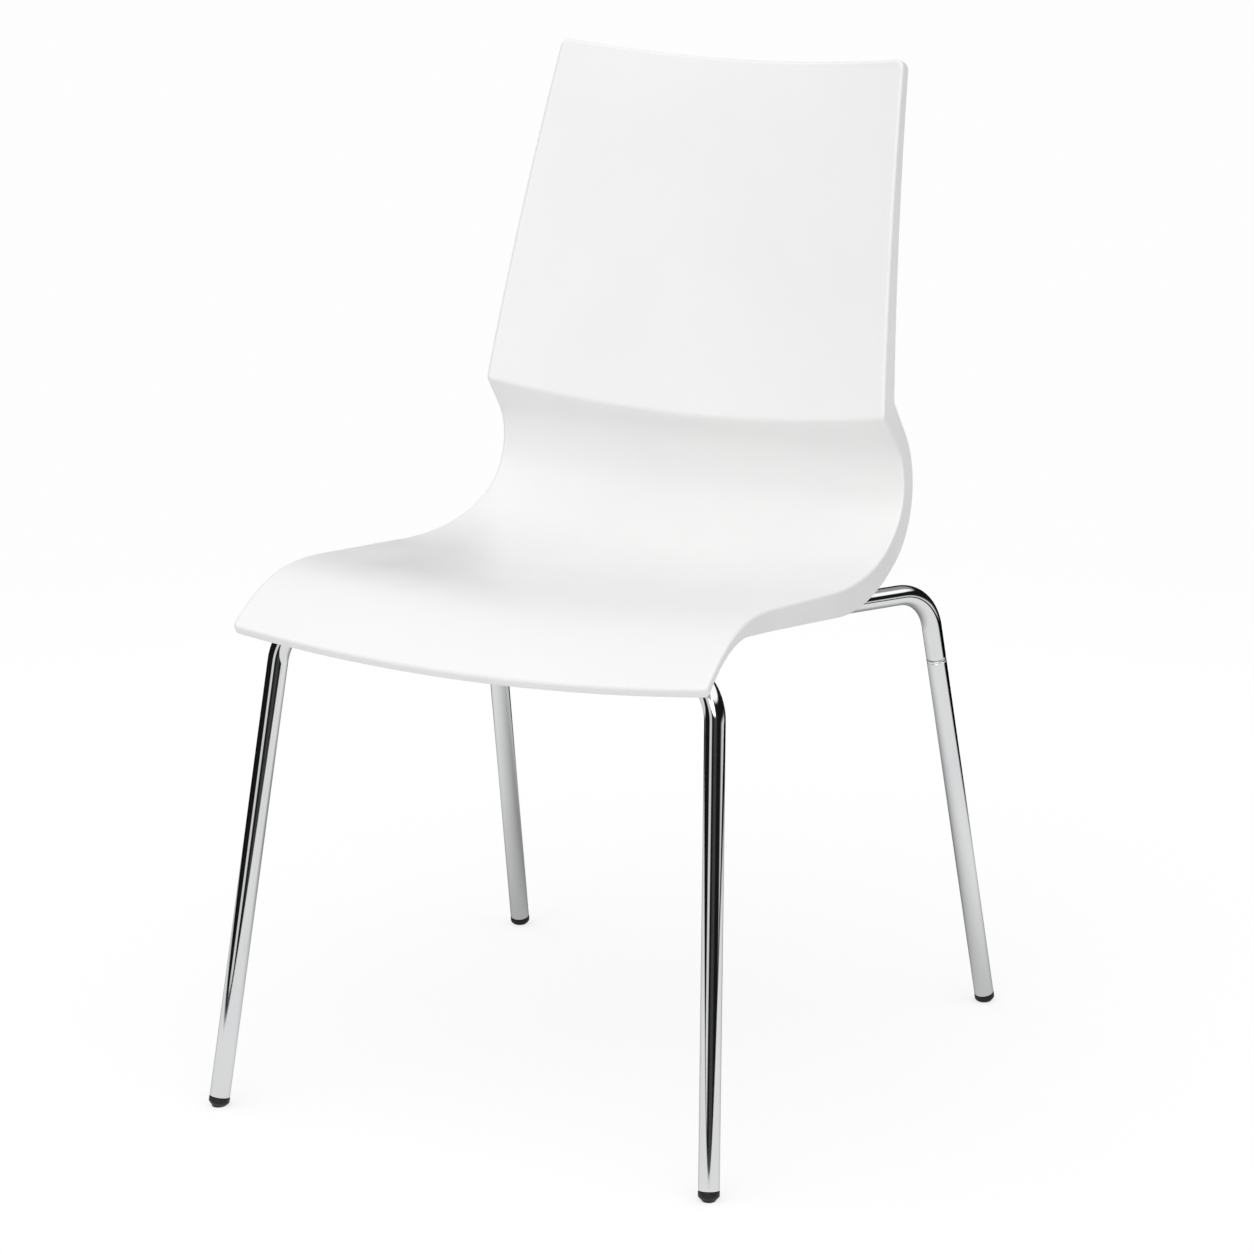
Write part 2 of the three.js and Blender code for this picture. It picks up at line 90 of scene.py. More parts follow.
FOOT_BAND_R = 8.7
FOOT_BASE_R = 5.4
FOOT_CHAMFER = 3.4
FOOT_HEIGHT = 7.6
FOOT_PLUG_LENGTH = 19
FOOT_EDGE = 0.5  # rounding of its corners
BARBS = 4
BARB_DEPTH = 0.7
BARB_STEP = 1.6  # from a ridge to the next groove
BARB_FIRST = 3
TUBE_START = FOOT_HEIGHT + GAP

DECK_TOP = (487.5, 834.1)
DECK_CREASE = (396.7, 546.5)
SKIRT_TOP = (499.3, 829.9)
SKIRT_CREASE = (418.7, 557)
BACK_BOW = 5
DECK_HIP = ((385, 487), 47.3, 39.7, -57)  # centre, radius, and from where to where, in degrees
SKIRT_HIP = ((381, 484), 71.5, 33.1, -68)
DECK_SEAT = ((364, 416.9), (265, 428.4))
SKIRT_SEAT = ((350.3, 394.5), (280.2, 404.5))
DECK_MID = (150, 441.6)
SKIRT_MID = (150, 423.1)
DECK_CROWN = ((115, 445.5), (92, 442.6))
SKIRT_CROWN = (95, 431)
DECK_NOSE = ((55.3, 438), (17.3, 407.9))
SKIRT_NOSE = ((52.3, 429.5), (21.2, 400.4))
HALF_WIDTH = {
    "top": 162.2, "crease": 189.4, "hip": 191.5, "hip_end": 195,
    "seat": 205.5, "mid": 206.6, "crown": 209.6, "nose": 214,
}
SAG = {  # how far the middle lies behind and above the side edges
    "top": (11.4, -10.2), "crease": (8.5, -16), "hip": (12, -9), "hip_end": (7, -11),
    "seat": (0, -8), "mid": (0, -8), "crown": (-2, -9), "nose": (-6.4, -11.3),
}
SKIN = 5
RIM = 5
DRAFT = 1.2
SEAT_BELOW_Z = 450  # the deck belongs to the seat below this level
TOP_CORNER_R = 7
NOSE_CORNER_R = 5
INNER_CORNER_R = 2  # the smallest corner radius of a loop inside the rim
SOFT_EDGE = 2.8  # rounding where the deck turns into a side wall
WALL_EDGE = 1.3  # rounding along the lower edge of a side wall
INNER_FILLET = 1.8  # rounding between a side wall and the underside
CREASE_SOFTNESS = 2.6  # reach of the rounding of the crease, each way
ROW_STEP = 4
FINE_STEP = 0.5
END_ZONE = 12  # depth of the zone at each edge that has rows and columns of its own
EDGE_COLUMNS = (3.3, 5, 8)  # beyond those on the rounding
CORNER_ROWS = 5  # rows round a corner, beyond those on the rounding
MIDDLE_COLUMNS = 56
TURN_STEP = 15  # degrees between two rows or columns on the rounding
FIRM = 0.4  # distance from a rounding to the loop that keeps the wall's shading flat

TAB_LENGTH = 30
TAB_REACH = 27
TAB_THICKNESS = 3
TAB_HOLE_IN = 13
TAB_CORNER_R = 8
REAR_TAB_Y = 305
BOSS_R = 9
BOSS_CHAMFER = 0.7
BOSS_END = 1.5  # plastic left over the bore
FIN_REACH = 20
FIN_HALF_WIDTH = 1.3
FIN_SLOPE = 0.75
SCREW_R = 3
HEAD_R = 5.6
HEAD_HEIGHT = 3.4
SOCKET_APOTHEM = 2
SOCKET_DEPTH = 2
THREAD_PITCH = 1
THREAD_DEPTH = 0.4
PLAIN_SHANK = 4
WASHER_R = 7
INSERT_R = 4.4
INSERT_LENGTH = 9
BEAD_R = 1.5  # weld beads
BEAD_RIPPLE = 0.09  # as a share of the radius
BEAD_RIPPLES = 26

PAD_WIDTH = 22
PAD_WALL = 3
PAD_OPEN = 68  # degrees each side of straight up
PAD_FRONT_X = 140
PAD_ARM_SHARE = 0.54  # place of a rear pad along its arm

CAMERA_AZIMUTH = 27.43
CAMERA_ELEVATION = 14.57
CAMERA_PLACE = (1.65064, -3.14940, 1.29909)
CAMERA_LENS = 126.16
SENSOR = 36

# Stage, in metres
FLOOR_R = 2.3
FLOOR_SIDES = 128
FLOOR_FADE = (0.9, 1.9)  # where the floor stops taking shadows, in metres from the chair
PAPER = 0.985  # brightness of the floor and of what lies behind it
FLOOR_GLOW = 0.68  # the part of it that takes no shadow
FLOOR_COLOR = (0.33, 0.34)  # the part that does: darkest and lightest grain
BOUNCE = 0.7  # brightness of the floor as light for the chair
POOL = 0.88  # brightness in reflections of the lit part of the floor, an ellipse
POOL_CENTRE = (0.3, -0.45, 0)
POOL_SIZE = (1.6, 1.35, 1)
POOL_FADE = (0.85, 1.15)  # as shares of its size
DIM_PLACE = (-0.05, 0.4, 0)  # the middle of the chair's own shade, and how far it reaches
DIM_REACH = 0.65
DIM_SHARE = 0.62

# Lamps of the studio. level is the brightness. The azimuth of the middle, counted from the front
# towards +X, half the width and the soft edge are in degrees. rise and fall are the heights, as the z
# of a direction, over which a lamp fades in and out. The first four light matt surfaces, DARK_SIDE
# takes light from them, and the others show in reflections.
KEY_LAMP = dict(level=0.4, centre=12, half=22, soft=50, rise=(0, 0.3), fall=(0.75, 1))
FILL_LAMP = dict(level=1.2, centre=12, half=26, soft=25, rise=(-0.2, -0.1), fall=(0.12, 0.3))
SIDE_LAMP = dict(level=0.04, centre=95, half=40, soft=40, fall=(0.4, 0.8))
BACK_LAMP = dict(level=1.25, centre=180, half=30, soft=18, fall=(0.3, 0.45))
DARK_SIDE = dict(level=0.55, centre=-112, half=42, soft=25, fall=(0.35, 0.75))
WINDOW = dict(level=0.75, centre=-17, half=8, soft=8)
SIDE_WINDOW = dict(level=0.75, centre=118, half=12, soft=20, fall=(-0.12, 0.05))
FRONT_WINDOW = dict(level=3, centre=16, half=14, soft=10, rise=(0.15, 0.22), fall=(0.45, 0.55))
HAZE = dict(level=0.045, centre=32, half=8, soft=14)
# The rest of it: a name with FADE gives heights, and one with FROM gives degrees from the front.
DOME_LOW, DOME_RISE, DOME_FADE = 0.2, 0.86, (0.10, 0.42)
ZENITH, ZENITH_FADE = 0.2, (0.65, 0.9)
DARK_BACK, DARK_BACK_FROM, DARK_BACK_FADE = 0.72, (100, 140), (0.42, 0.57)
CEILING, CEILING_BACK, CEILING_BACK_FROM, CEILING_FADE = 1.25, 0.35, (140, 160), (0.40, 0.52)
ROOM = 0.01  # what the rest of the studio reflects

SIDES = (("left", 1), ("right", -1))

# ---- small tools -------------------------------------------------------------------------------


def to_frame(points):
    """Design points, in millimetres from the front feet, as frame points in metres."""
    return (np.asarray(points, float) - (0, MIDDLE_Y, 0)) * MM


def from_frame(point):
    return np.array(point, float) / MM + (0, MIDDLE_Y, 0)


def cad_levels(name):
    """The lowest and the highest level of a CAD node, in millimetres."""
    return [from_frame(corner)[2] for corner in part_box(name)]


def unit(vector):
    return np.asarray(vector, float) / np.linalg.norm(vector)


def turned(points, axis, place):
    """Points modelled about +Z, turned so that +Z becomes axis, and moved to place."""
    turn = Vector((0, 0, 1)).rotation_difference(Vector(axis)).to_matrix()
    return np.asarray(points, float) @ np.array(turn).T + place


def ring_angles(sides):
    return [2 * math.pi * k / sides for k in range(sides)]


def grid_faces(rows, columns, wrap_rows=False, wrap_columns=False):
    """Quads over a grid of points numbered row by row."""
    faces = []
    for i in range(rows if wrap_rows else rows - 1):
        for j in range(columns if wrap_columns else columns - 1):
            here, below = i * columns, (i + 1) % rows * columns
            beside = (j + 1) % columns
            faces.append((here + j, here + beside, below + beside, below + j))
    return faces


def shifted(faces, first):
    return [tuple(v + first for v in face) for face in faces]


def merged(*solids):
    """Several closed bodies as one list of points and one list of faces."""
    points, faces = [], []
    for solid_points, solid_faces in solids:
        faces += shifted(solid_faces, len(points))
        points += [tuple(p) for p in solid_points]
    return points, faces


def softened(outline, reach, steps=4, closed=False):
    """The outline with each corner replaced by a small curve that starts and ends at most reach away.
    A corner with no reach stays as it is."""
    outline = [np.array(p, float) for p in outline]
    count = len(outline)
    result = []
    for i, corner in enumerate(outline):
        if not closed and i in (0, count - 1):
            result.append(corner)
            continue
        before, after = outline[i - 1], outline[(i + 1) % count]
        size = reach[i] if isinstance(reach, (list, tuple)) else reach
        size = min(size, 0.45 * np.linalg.norm(before - corner), 0.45 * np.linalg.norm(after - corner))
        if size == 0:
            result.append(corner)
            continue
        start = corner + unit(before - corner) * size
        end = corner + unit(after - corner) * size
        for k in range(steps + 1):
            t = k / steps
            result.append((1 - t) ** 2 * start + 2 * t * (1 - t) * corner + t * t * end)
    return result


def lathe(profile, sides=LATHE_SIDES):
    """A solid turned about +Z. A radius is a number or a function of the angle. A profile whose ends
    are on the axis is closed there; any other profile closes on itself."""
    on_axis = not callable(profile[0][0]) and profile[0][0] == 0
    body = profile[1:-1] if on_axis else profile
    points = []
    for radius, height in body:
        for angle in ring_angles(sides):
            r = radius(angle) if callable(radius) else radius
            points.append((r * math.cos(angle), r * math.sin(angle), height))
    faces = grid_faces(len(body), sides, wrap_rows=not on_axis, wrap_columns=True)
    if on_axis:
        first, last = len(points), len(points) + 1
        points += [(0, 0, profile[0][1]), (0, 0, profile[-1][1])]
        end = (len(body) - 1) * sides
        for k in range(sides):
            beside = (k + 1) % sides
            faces.append((first, beside, k))
            faces.append((last, end + k, end + beside))
    return points, faces


def new_object(name, data):
    made = bpy.data.objects.new(name, data)
    bpy.context.scene.collection.objects.link(made)
    return made


def new_body(name, solid):
    """An object from design points and faces, with the faces turned outwards."""
    points, faces = solid
    mesh = bpy.data.meshes.new(name)
    mesh.from_pydata([tuple(p) for p in to_frame(points)], [], faces)
    work = bmesh.new()
    work.from_mesh(mesh)
    bmesh.ops.recalc_face_normals(work, faces=work.faces)
    work.to_mesh(mesh)
    work.free()
    return new_object(name, mesh)


def add_piece(name, solid, finish, nodes=(), bevel=0.0, sharp=40):
    """Makes one shown piece that rides on the chair, and hides the CAD nodes that it stands for."""
    piece = new_body(name, solid)
    if bevel:
        modifier = piece.modifiers.new("edges", "BEVEL")
        modifier.width = bevel * MM
        modifier.segments = 3
        modifier.limit_method = "ANGLE"
        modifier.angle_limit = math.radians(sharp)
    shade(piece.data, sharp)
    slot, material = finish
    piece.data.materials.append(material)
    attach(piece, "root")
    if nodes:
        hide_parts(*nodes)
    return piece


def shade(mesh, sharp):
    mesh.shade_smooth()
    mesh.set_sharp_from_angle(angle=math.radians(sharp))


# ---- materials ---------------------------------------------------------------------------------


def node(tree, kind, inputs=None, **settings):
    """Adds a shader node. An input is a value, or the output socket of another node."""
    made = tree.nodes.new(kind)
    for key, value in settings.items():
        setattr(made, key, value)
    for key, value in (inputs or {}).items():
        if isinstance(value, bpy.types.NodeSocket):
            tree.links.new(value, made.inputs[key])
        else:
            made.inputs[key].default_value = value
    return made


def noise(tree, scale, detail=2.0, stretch=(1, 1, 1)):
    """Noise fixed to the chair: scale counts its features in a metre."""
    place = node(tree, "ShaderNodeTexCoord").outputs["Object"]
    mapped = node(tree, "ShaderNodeMapping", {"Vector": place, "Scale": stretch}).outputs["Vector"]
    made = node(tree, "ShaderNodeTexNoise", {"Vector": mapped, "Scale": scale, "Detail": detail})
    return made.outputs["Fac"]


def remap(tree, value, to_low, to_high, low=0.3, high=0.7, kind="LINEAR"):
    inputs = {"Value": value, "From Min": low, "From Max": high, "To Min": to_low, "To Max": to_high}
    return node(tree, "ShaderNodeMapRange", inputs, interpolation_type=kind).outputs["Result"]


def tint(tree, value, first, second):
    """A colour between two, by a noise value."""
    made = node(tree, "ShaderNodeMix", {"Factor": remap(tree, value, 0, 1)}, data_type="RGBA")
    made.inputs[6].default_value = (*first, 1)
    made.inputs[7].default_value = (*second, 1)
    return made.outputs[2]


def bump(tree, height, distance, normal=None):
    """distance is the height of the relief in millimetres."""
    inputs = {"Height": height, "Distance": distance * MM, "Strength": 1.0}
    if normal is not None:
        inputs["Normal"] = normal
    return node(tree, "ShaderNodeBump", inputs).outputs["Normal"]


def new_material(name):
    material = bpy.data.materials.new(name)
    material.use_nodes = True
    tree = material.node_tree
    return material, tree, tree.nodes["Principled BSDF"]


def connect(tree, shader, color, rough, normal):
    for name, output in (("Base Color", color), ("Roughness", rough), ("Normal", normal)):
        tree.links.new(output, shader.inputs[name])


def plastic(name, first, second, rough, grain_scale, grain_height, gloss=0.5):
    """Moulded plastic: slight colour drift, a fine grain, and faint rubbed patches."""
    material, tree, shader = new_material(name)
    shader.inputs["IOR"].default_value = 1.5
    shader.inputs["Specular IOR Level"].default_value = gloss
    drift = tint(tree, noise(tree, 7, 3), first, second)
    rubbed = remap(tree, noise(tree, 22, 5, (1, 0.35, 1)), rough - 0.05, rough + 0.05)
    orange_peel = bump(tree, noise(tree, 90, 2), grain_height * 1.5)
    connect(tree, shader, drift, rubbed, bump(tree, noise(tree, grain_scale, 3), grain_height, orange_peel))
    return material


def metal(name, first, second, rough_low, rough_high, wave_height, scratch_height, edge):
    """Metal along upright tubes: slow waves from drawing and polishing, and fine lengthwise scratches."""
    material, tree, shader = new_material(name)
    shader.inputs["Metallic"].default_value = 1
    shader.inputs["Specular Tint"].default_value = (edge, edge, edge, 1)
    drift = tint(tree, noise(tree, 12, 3), first, second)
    haze = remap(tree, noise(tree, 45, 6, (1, 1, 0.3)), rough_low, rough_high)
    waves = bump(tree, noise(tree, 60, 1, (1, 1, 0.12)), wave_height)
    scratches = bump(tree, noise(tree, 1500, 2, (1, 1, 0.02)), scratch_height, waves)
    connect(tree, shader, drift, haze, scratches)
    return material


def plated(name, color, rough, grain_height):
    """The metal of small fittings: a dull even grain."""
    material, tree, shader = new_material(name)
    shader.inputs["Metallic"].default_value = 1
    darker = tuple(c * 0.82 for c in color)
    spots = tint(tree, noise(tree, 180, 4), darker, color)
    dull = remap(tree, noise(tree, 400, 3), rough - 0.08, rough + 0.08)
    connect(tree, shader, spots, dull, bump(tree, noise(tree, 900, 2), grain_height))
    return material


# a finish is a slot name and the material itself
WHITE = "white_plastic", plastic(
    "white_plastic", first=(0.88, 0.88, 0.875), second=(0.855, 0.856, 0.854),
    rough=0.42, grain_scale=1300, grain_height=0.012)
CHROME = "chrome", metal(
    "chrome", first=(0.80, 0.805, 0.81), second=(0.75, 0.755, 0.765),
    rough_low=0.025, rough_high=0.055, wave_height=0.004, scratch_height=0.0004, edge=0.6)
STEEL = "steel", plated("zinc_plated_steel", color=(0.62, 0.63, 0.64), rough=0.34, grain_height=0.01)
BRASS = "brass", plated("brass", color=(0.72, 0.55, 0.27), rough=0.3, grain_height=0.008)
BLACK = "black_plastic", plastic(
    "black_plastic", first=(0.009, 0.009, 0.01), second=(0.014, 0.014, 0.015),
    rough=0.45, grain_scale=900, grain_height=0.02, gloss=0.3)
GREY = "grey_plastic", plastic(
    "grey_plastic", first=(0.25, 0.25, 0.255), second=(0.29, 0.29, 0.295),
    rough=0.55, grain_scale=900, grain_height=0.02)

# ---- tubes -------------------------------------------------------------------------------------


class CentreLine:
    """The centre line of a tube: straight runs joined by bends, all in one plane."""

    def __init__(self, *corners):
        corners = [np.array(c, float) for c in corners]
        self.parts = []  # where the part starts along the line, its length, and its shape
        self.length = 0.0
        self.side = self.across(unit(corners[1] - corners[0]))
        start = corners[0]
        for before, corner, after in zip(corners, corners[1:], corners[2:]):
            into, out = unit(corner - before), unit(after - corner)
            turn = math.acos(float(into @ out))
            cut = BEND_R * math.tan(turn / 2)
            self.add_straight(start, corner - into * cut)
            self.add_bend(corner - into * cut, into, out, turn)
            self.side = unit(np.cross(into, out))
            start = corner + out * cut
        self.add_straight(start, corners[-1])

    @staticmethod
    def across(run):
        other = (1, 0, 0) if abs(run[0]) < 0.7 else (0, 0, 1)
        return unit(np.cross(run, other))

    def add_straight(self, start, end):
        run = unit(end - start)
        length = float(np.linalg.norm(end - start))
        self.parts.append((self.length, length, lambda s: (start + run * s, run), False))
        self.length += length

    def add_bend(self, start, into, out, turn):
        inward = unit(out - into * float(out @ into))

        def shape(s):
            a = s / BEND_R
            point = start + BEND_R * (into * math.sin(a) + inward * (1 - math.cos(a)))
            return point, into * math.cos(a) + inward * math.sin(a)

        self.parts.append((self.length, BEND_R * turn, shape, True))
        self.length += BEND_R * turn

    def at(self, distance):
        """The point and the direction at a distance along the line."""
        part = self.parts[0]
        for candidate in self.parts:
            if candidate[0] <= distance:
                part = candidate
        return part[2](distance - part[0])

    def ring(self, distance, radius, sides=TUBE_SIDES):
        point, run = self.at(distance)
        normal = np.cross(self.side, run)
        angles = np.arange(sides) * 2 * math.pi / sides
        around = np.outer(np.cos(angles), normal) + np.outer(np.sin(angles), self.side)
        return point + radius * around

    def bend_stations(self):
        """Distances of the rings round every bend. One more ring on each side of a bend keeps the
        shading of the straight runs straight."""
        stations = []
        for start, length, _, bent in self.parts:
            if bent:
                steps = math.ceil(math.degrees(length / BEND_R) / BEND_STEP)
                stations += [start - STEADY]
                stations += [start + length * k / steps for k in range(steps + 1)]
                stations += [start + length + STEADY]
        return stations


def cope(points, run, meets, radius):
    """Slides points back along run, the way the tube points, until they lie on the tube it meets."""
    on_axis, axis = meets
    flat = run - axis * float(run @ axis)
    away = points - on_axis
    away = away - np.outer(away @ axis, axis)
    a, b = float(flat @ flat), away @ flat
    c = (away * away).sum(1) - radius * radius
    slide = (-b - np.sqrt(np.maximum(b * b - a * c, 0))) / a
    return points + np.outer(slide, run)


def tube(line, outer, inner, meets_start=None, meets_end=None, grooves=()):
    """A tube with rounded ends. An end that meets another tube is cut to fit round it."""
    rounding = [(EDGE * (1 - math.sin(a)), outer - EDGE * (1 - math.cos(a))) for a in QUARTER_TURN]
    length = line.length
    between = line.bend_stations()
    profile = [(s, r, "start") for s, r in reversed(rounding)]
    if not meets_start:
        profile += [(EDGE + STEADY, outer, "")]
    profile += [(s, outer, "") for s in between]
    for s in grooves:
        profile += [(s - GROOVE - STEADY, outer, ""), (s - GROOVE, outer, ""), (s, outer - GROOVE, "")]
        profile += [(s + GROOVE, outer, ""), (s + GROOVE + STEADY / 4, outer, "")]
    if not meets_end:
        profile += [(length - EDGE - STEADY, outer, "")]
    profile += [(length - s, r, "end") for s, r in rounding]
    profile += [(length, inner, "end")]
    profile += [(s, inner, "") for s in reversed(between)]
    profile += [(0, inner, "start")]
    rings = []
    for distance, radius, end in profile:
        ring = line.ring(distance, radius)
        if end == "start" and meets_start:
            ring = cope(ring, -line.at(0)[1], meets_start, TUBE_R + GAP / 2)
        if end == "end" and meets_end:
            ring = cope(ring, line.at(length)[1], meets_end, TUBE_R + GAP / 2)
        rings.append(ring)
    return np.concatenate(rings), grid_faces(len(rings), TUBE_SIDES, True, True)


def bead(curve, outward):
    """A weld bead along a closed curve. Its thickness ripples slightly."""
    count = len(curve)
    ahead = np.roll(curve, -1, 0) - np.roll(curve, 1, 0)
    points = []
    for i in range(count):
        run = unit(ahead[i])
        side = unit(np.cross(run, outward[i]))
        up = np.cross(side, run)
        radius = BEAD_R * (1 + BEAD_RIPPLE * math.cos(2 * math.pi * BEAD_RIPPLES * i / count))
        for a in ring_angles(BEAD_SIDES):
            points.append(curve[i] + radius * (side * math.cos(a) + up * math.sin(a)))
    return points, grid_faces(count, BEAD_SIDES, True, True)


def joint_bead(line, at_end, outer, meets):
    """The bead round the joint where a coped tube end meets another tube."""
    distance = line.length if at_end else 0
    point, run = line.at(distance)
    ring = line.ring(distance, outer, 2 * TUBE_SIDES)
    return bead(cope(ring, run if at_end else -run, meets, TUBE_R + GAP / 2), ring - point)


def front_leg(side, z):
    return np.array((side * (FRONT_FOOT_X - FRONT_LEAN_IN * z), FRONT_LEAN_BACK * z, z))


def rear_leg(side, z):
    return np.array((side * (REAR_FOOT_X - REAR_LEAN_IN * z), REAR_FOOT_Y - REAR_LEAN_FORWARD * z, z))


def along(leg, side, distance):
    """The point that lies a distance up a leg's centre line from the floor."""
    foot = leg(side, 0)
    return foot + unit(leg(side, 1) - foot) * distance


def arm_end(side):
    return np.array((side * ARM_END_X, CROSS_BAR_Y, CROSS_BAR_Z))


def arm_run(side):
    return unit(arm_end(side) - rear_leg(side, REAR_CORNER_Z))


def arm_point(side, y):
    start = rear_leg(side, REAR_CORNER_Z)
    run = arm_run(side)
    return start + run * ((y - start[1]) / run[1])


FRONT_BAR = (arm_end(1), np.array((1.0, 0, 0)))


def build_frame():
    front = CentreLine(
        along(front_leg, 1, TUBE_START), front_leg(1, CROSS_BAR_Z),
        front_leg(-1, CROSS_BAR_Z), along(front_leg, -1, TUBE_START),
    )
    add_piece("front_leg_frame_tube", tube(front, TUBE_R, BORE_R), CHROME, ["front_leg_frame"])
    for word, side in SIDES:
        seam = float(np.linalg.norm(rear_leg(side, SEAM_Z) - rear_leg(side, 0)))
        start = along(rear_leg, side, seam + GAP / 2)
        arm = CentreLine(start, rear_leg(side, REAR_CORNER_Z), arm_end(side))
        solid = tube(arm, TUBE_R, BORE_R, meets_end=FRONT_BAR)
        add_piece(f"rear_arm_{word}", solid, CHROME, [f"rear_arm_tube_{word}"])
        add_piece(f"weld_front_{word}", joint_bead(arm, True, TUBE_R, FRONT_BAR), CHROME)
        leg = CentreLine(along(rear_leg, side, TUBE_START), along(rear_leg, side, seam - GAP / 2))
        solid = tube(leg, TUBE_R, BORE_R, grooves=[leg.length - SEAM_COLLAR])
        add_piece(f"rear_leg_{word}", solid, CHROME, [f"rear_leg_tube_{word}"])
        build_spigot(word, side, seam)
    build_tie()


def build_spigot(word, side, seam):
    """The plug that joins a rear leg to its arm, inside both tubes."""
    name = f"rear_leg_spigot_{word}"
    low, high = cad_levels(name)
    run = unit(rear_leg(side, 1) - rear_leg(side, 0))
    radius = BORE_R - GAP
    sink = radius * math.sqrt(1 - run[2] ** 2) / run[2]
    low, high = sink - (seam - low / run[2]), high / run[2] - seam - sink
    points, faces = lathe(softened([(0, low), (radius, low), (radius, high), (0, high)], 1))
    placed = turned(points, run, rear_leg(side, 0) + run * seam)
    add_piece(f"spigot_{word}", (placed, faces), STEEL, [name])


def build_tie():
    """The cross tube between the two arms."""
    line = CentreLine(arm_point(1, TIE_Y), arm_point(-1, TIE_Y))
    arms = [(arm_point(side, TIE_Y), arm_run(side)) for _, side in SIDES]
    solid = tube(line, TIE_R, TIE_BORE_R, meets_start=arms[0], meets_end=arms[1])
    add_piece("rear_cross_tube_finished", solid, CHROME, ["rear_cross_tube"])
    add_piece("weld_tie_left", joint_bead(line, False, TIE_R, arms[0]), CHROME)
    add_piece("weld_tie_right", joint_bead(line, True, TIE_R, arms[1]), CHROME)


# ---- feet --------------------------------------------------------------------------------------


def foot_outline():
    """Radius and height of the outside of a foot, from the inside of the tube down to its base."""
    plug = BORE_R - GAP
    top = FOOT_HEIGHT + FOOT_PLUG_LENGTH
    barbs = [(plug - BARB_DEPTH * (k % 2), top - BARB_FIRST - BARB_STEP * k) for k in range(2 * BARBS)]
    outline = [(0, top), (plug - 1, top), *barbs, (plug, FOOT_HEIGHT), (FOOT_BAND_R, FOOT_HEIGHT)]
    outline += [(FOOT_BAND_R, FOOT_CHAMFER), (FOOT_BASE_R, 0), (FOOT_BASE_R, -FOOT_CHAMFER)]
    return softened(outline, FOOT_EDGE, 3)


def foot(leg, side):
    """A foot whose outside is cut level with the floor."""
    place = leg(side, 0)
    run = unit(leg(side, 1) - place)
    outline = foot_outline()
    top, body = outline[0], outline[1:]
    heights = np.array([h for _, h in body])
    radii = np.array([r for r, _ in body])
    low = len(body) - 1 - int(np.argmax(heights[::-1] > FOOT_CHAMFER + FOOT_EDGE))
    upright = np.concatenate([[0], np.cumsum(np.hypot(np.diff(radii), np.diff(heights)))])
    points = [turned([(0, 0, top[1])], run, place)[0]]
    columns = []
    for angle in ring_angles(LATHE_SIDES):
        column = turned([(r * math.cos(angle), r * math.sin(angle), h) for r, h in body], run, place)
        ends = upright[low], float(np.interp(0, -column[low:, 2], upright[low:]))
        spots = np.concatenate([upright[:low], np.linspace(*ends, 8)])
        columns.append(np.stack([np.interp(spots, upright, column[:, axis]) for axis in range(3)], 1))
    count = len(columns[0])
    for row in range(count):
        points += [column[row] for column in columns]
    points.append((place[0], place[1], 0))
    faces = shifted(grid_faces(count, LATHE_SIDES, False, True), 1)
    last, end = len(points) - 1, 1 + (count - 1) * LATHE_SIDES
    for k in range(LATHE_SIDES):
        beside = (k + 1) % LATHE_SIDES
        faces += [(0, 1 + beside, 1 + k), (last, end + k, end + beside)]
    return np.array(points), faces


def build_feet():
    for word, side in SIDES:
        add_piece(f"foot_front_{word}", foot(front_leg, side), BLACK, [f"foot_plug_front_{word}"])
        add_piece(f"foot_rear_{word}", foot(rear_leg, side), BLACK, [f"foot_plug_rear_{word}"])


# ---- fixings -----------------------------------------------------------------------------------


def fixings():
    """Name, upright axis, level of the tab's top face, outward direction, and the tube that it is on."""
    found = []
    for word, side in SIDES:
        run = arm_run(side)
        inward = unit((-side * abs(run[1]), abs(run[0]), 0))
        arm = (arm_point(side, REAR_TAB_Y), run)
        for place, outward, holder in (("front", np.array((0, 1.0, 0)), FRONT_BAR), ("rear", inward, arm)):
            name = f"{place}_{word}"
            low, high = (from_frame(c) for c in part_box(f"mount_screw_{name}"))
            axis = np.array(((low[0] + high[0]) / 2, (low[1] + high[1]) / 2, 0))
            found.append((name, axis, cad_levels(f"mount_tab_{name}")[1], outward, holder))
    return found


def tab(axis, level, outward, holder):
    """A plate with a screw hole. Its root follows the tube that it is welded to."""
    across = np.cross((0, 0, 1), outward)
    root, end, half = -TAB_HOLE_IN, TAB_REACH - TAB_HOLE_IN, TAB_LENGTH / 2
    corners = [(root, -half), (end, -half), (end, half), (root, half)]
    outline = softened(corners, [0, TAB_CORNER_R, TAB_CORNER_R, 0], 8, closed=True)
    outline = np.array(densified(outline, 2))
    angles = np.arctan2(outline[:, 1], outline[:, 0])
    hole = (SCREW_R + GAP) * np.stack([np.cos(angles), np.sin(angles)], 1)
    rings = []
    for flat, height in ((hole, -TAB_THICKNESS), (outline, -TAB_THICKNESS), (outline, 0), (hole, 0)):
        base = axis + (0, 0, level + height)
        ring = base + np.outer(flat[:, 0], outward) + np.outer(flat[:, 1], across)
        welded = flat[:, 0] <= root
        if flat is outline:
            ring[welded] = cope(ring[welded], -outward, holder, TUBE_R + GAP)
        rings.append(ring)
    return np.concatenate(rings), grid_faces(len(rings), len(outline), True, True)


def densified(outline, step):
    """The closed outline with points added, so that no side is longer than step."""
    result = []
    for start, end in zip(outline, outline[1:] + outline[:1]):
        parts = max(1, math.ceil(np.linalg.norm(end - start) / step))
        result += [start + (end - start) * k / parts for k in range(parts)]
    return result


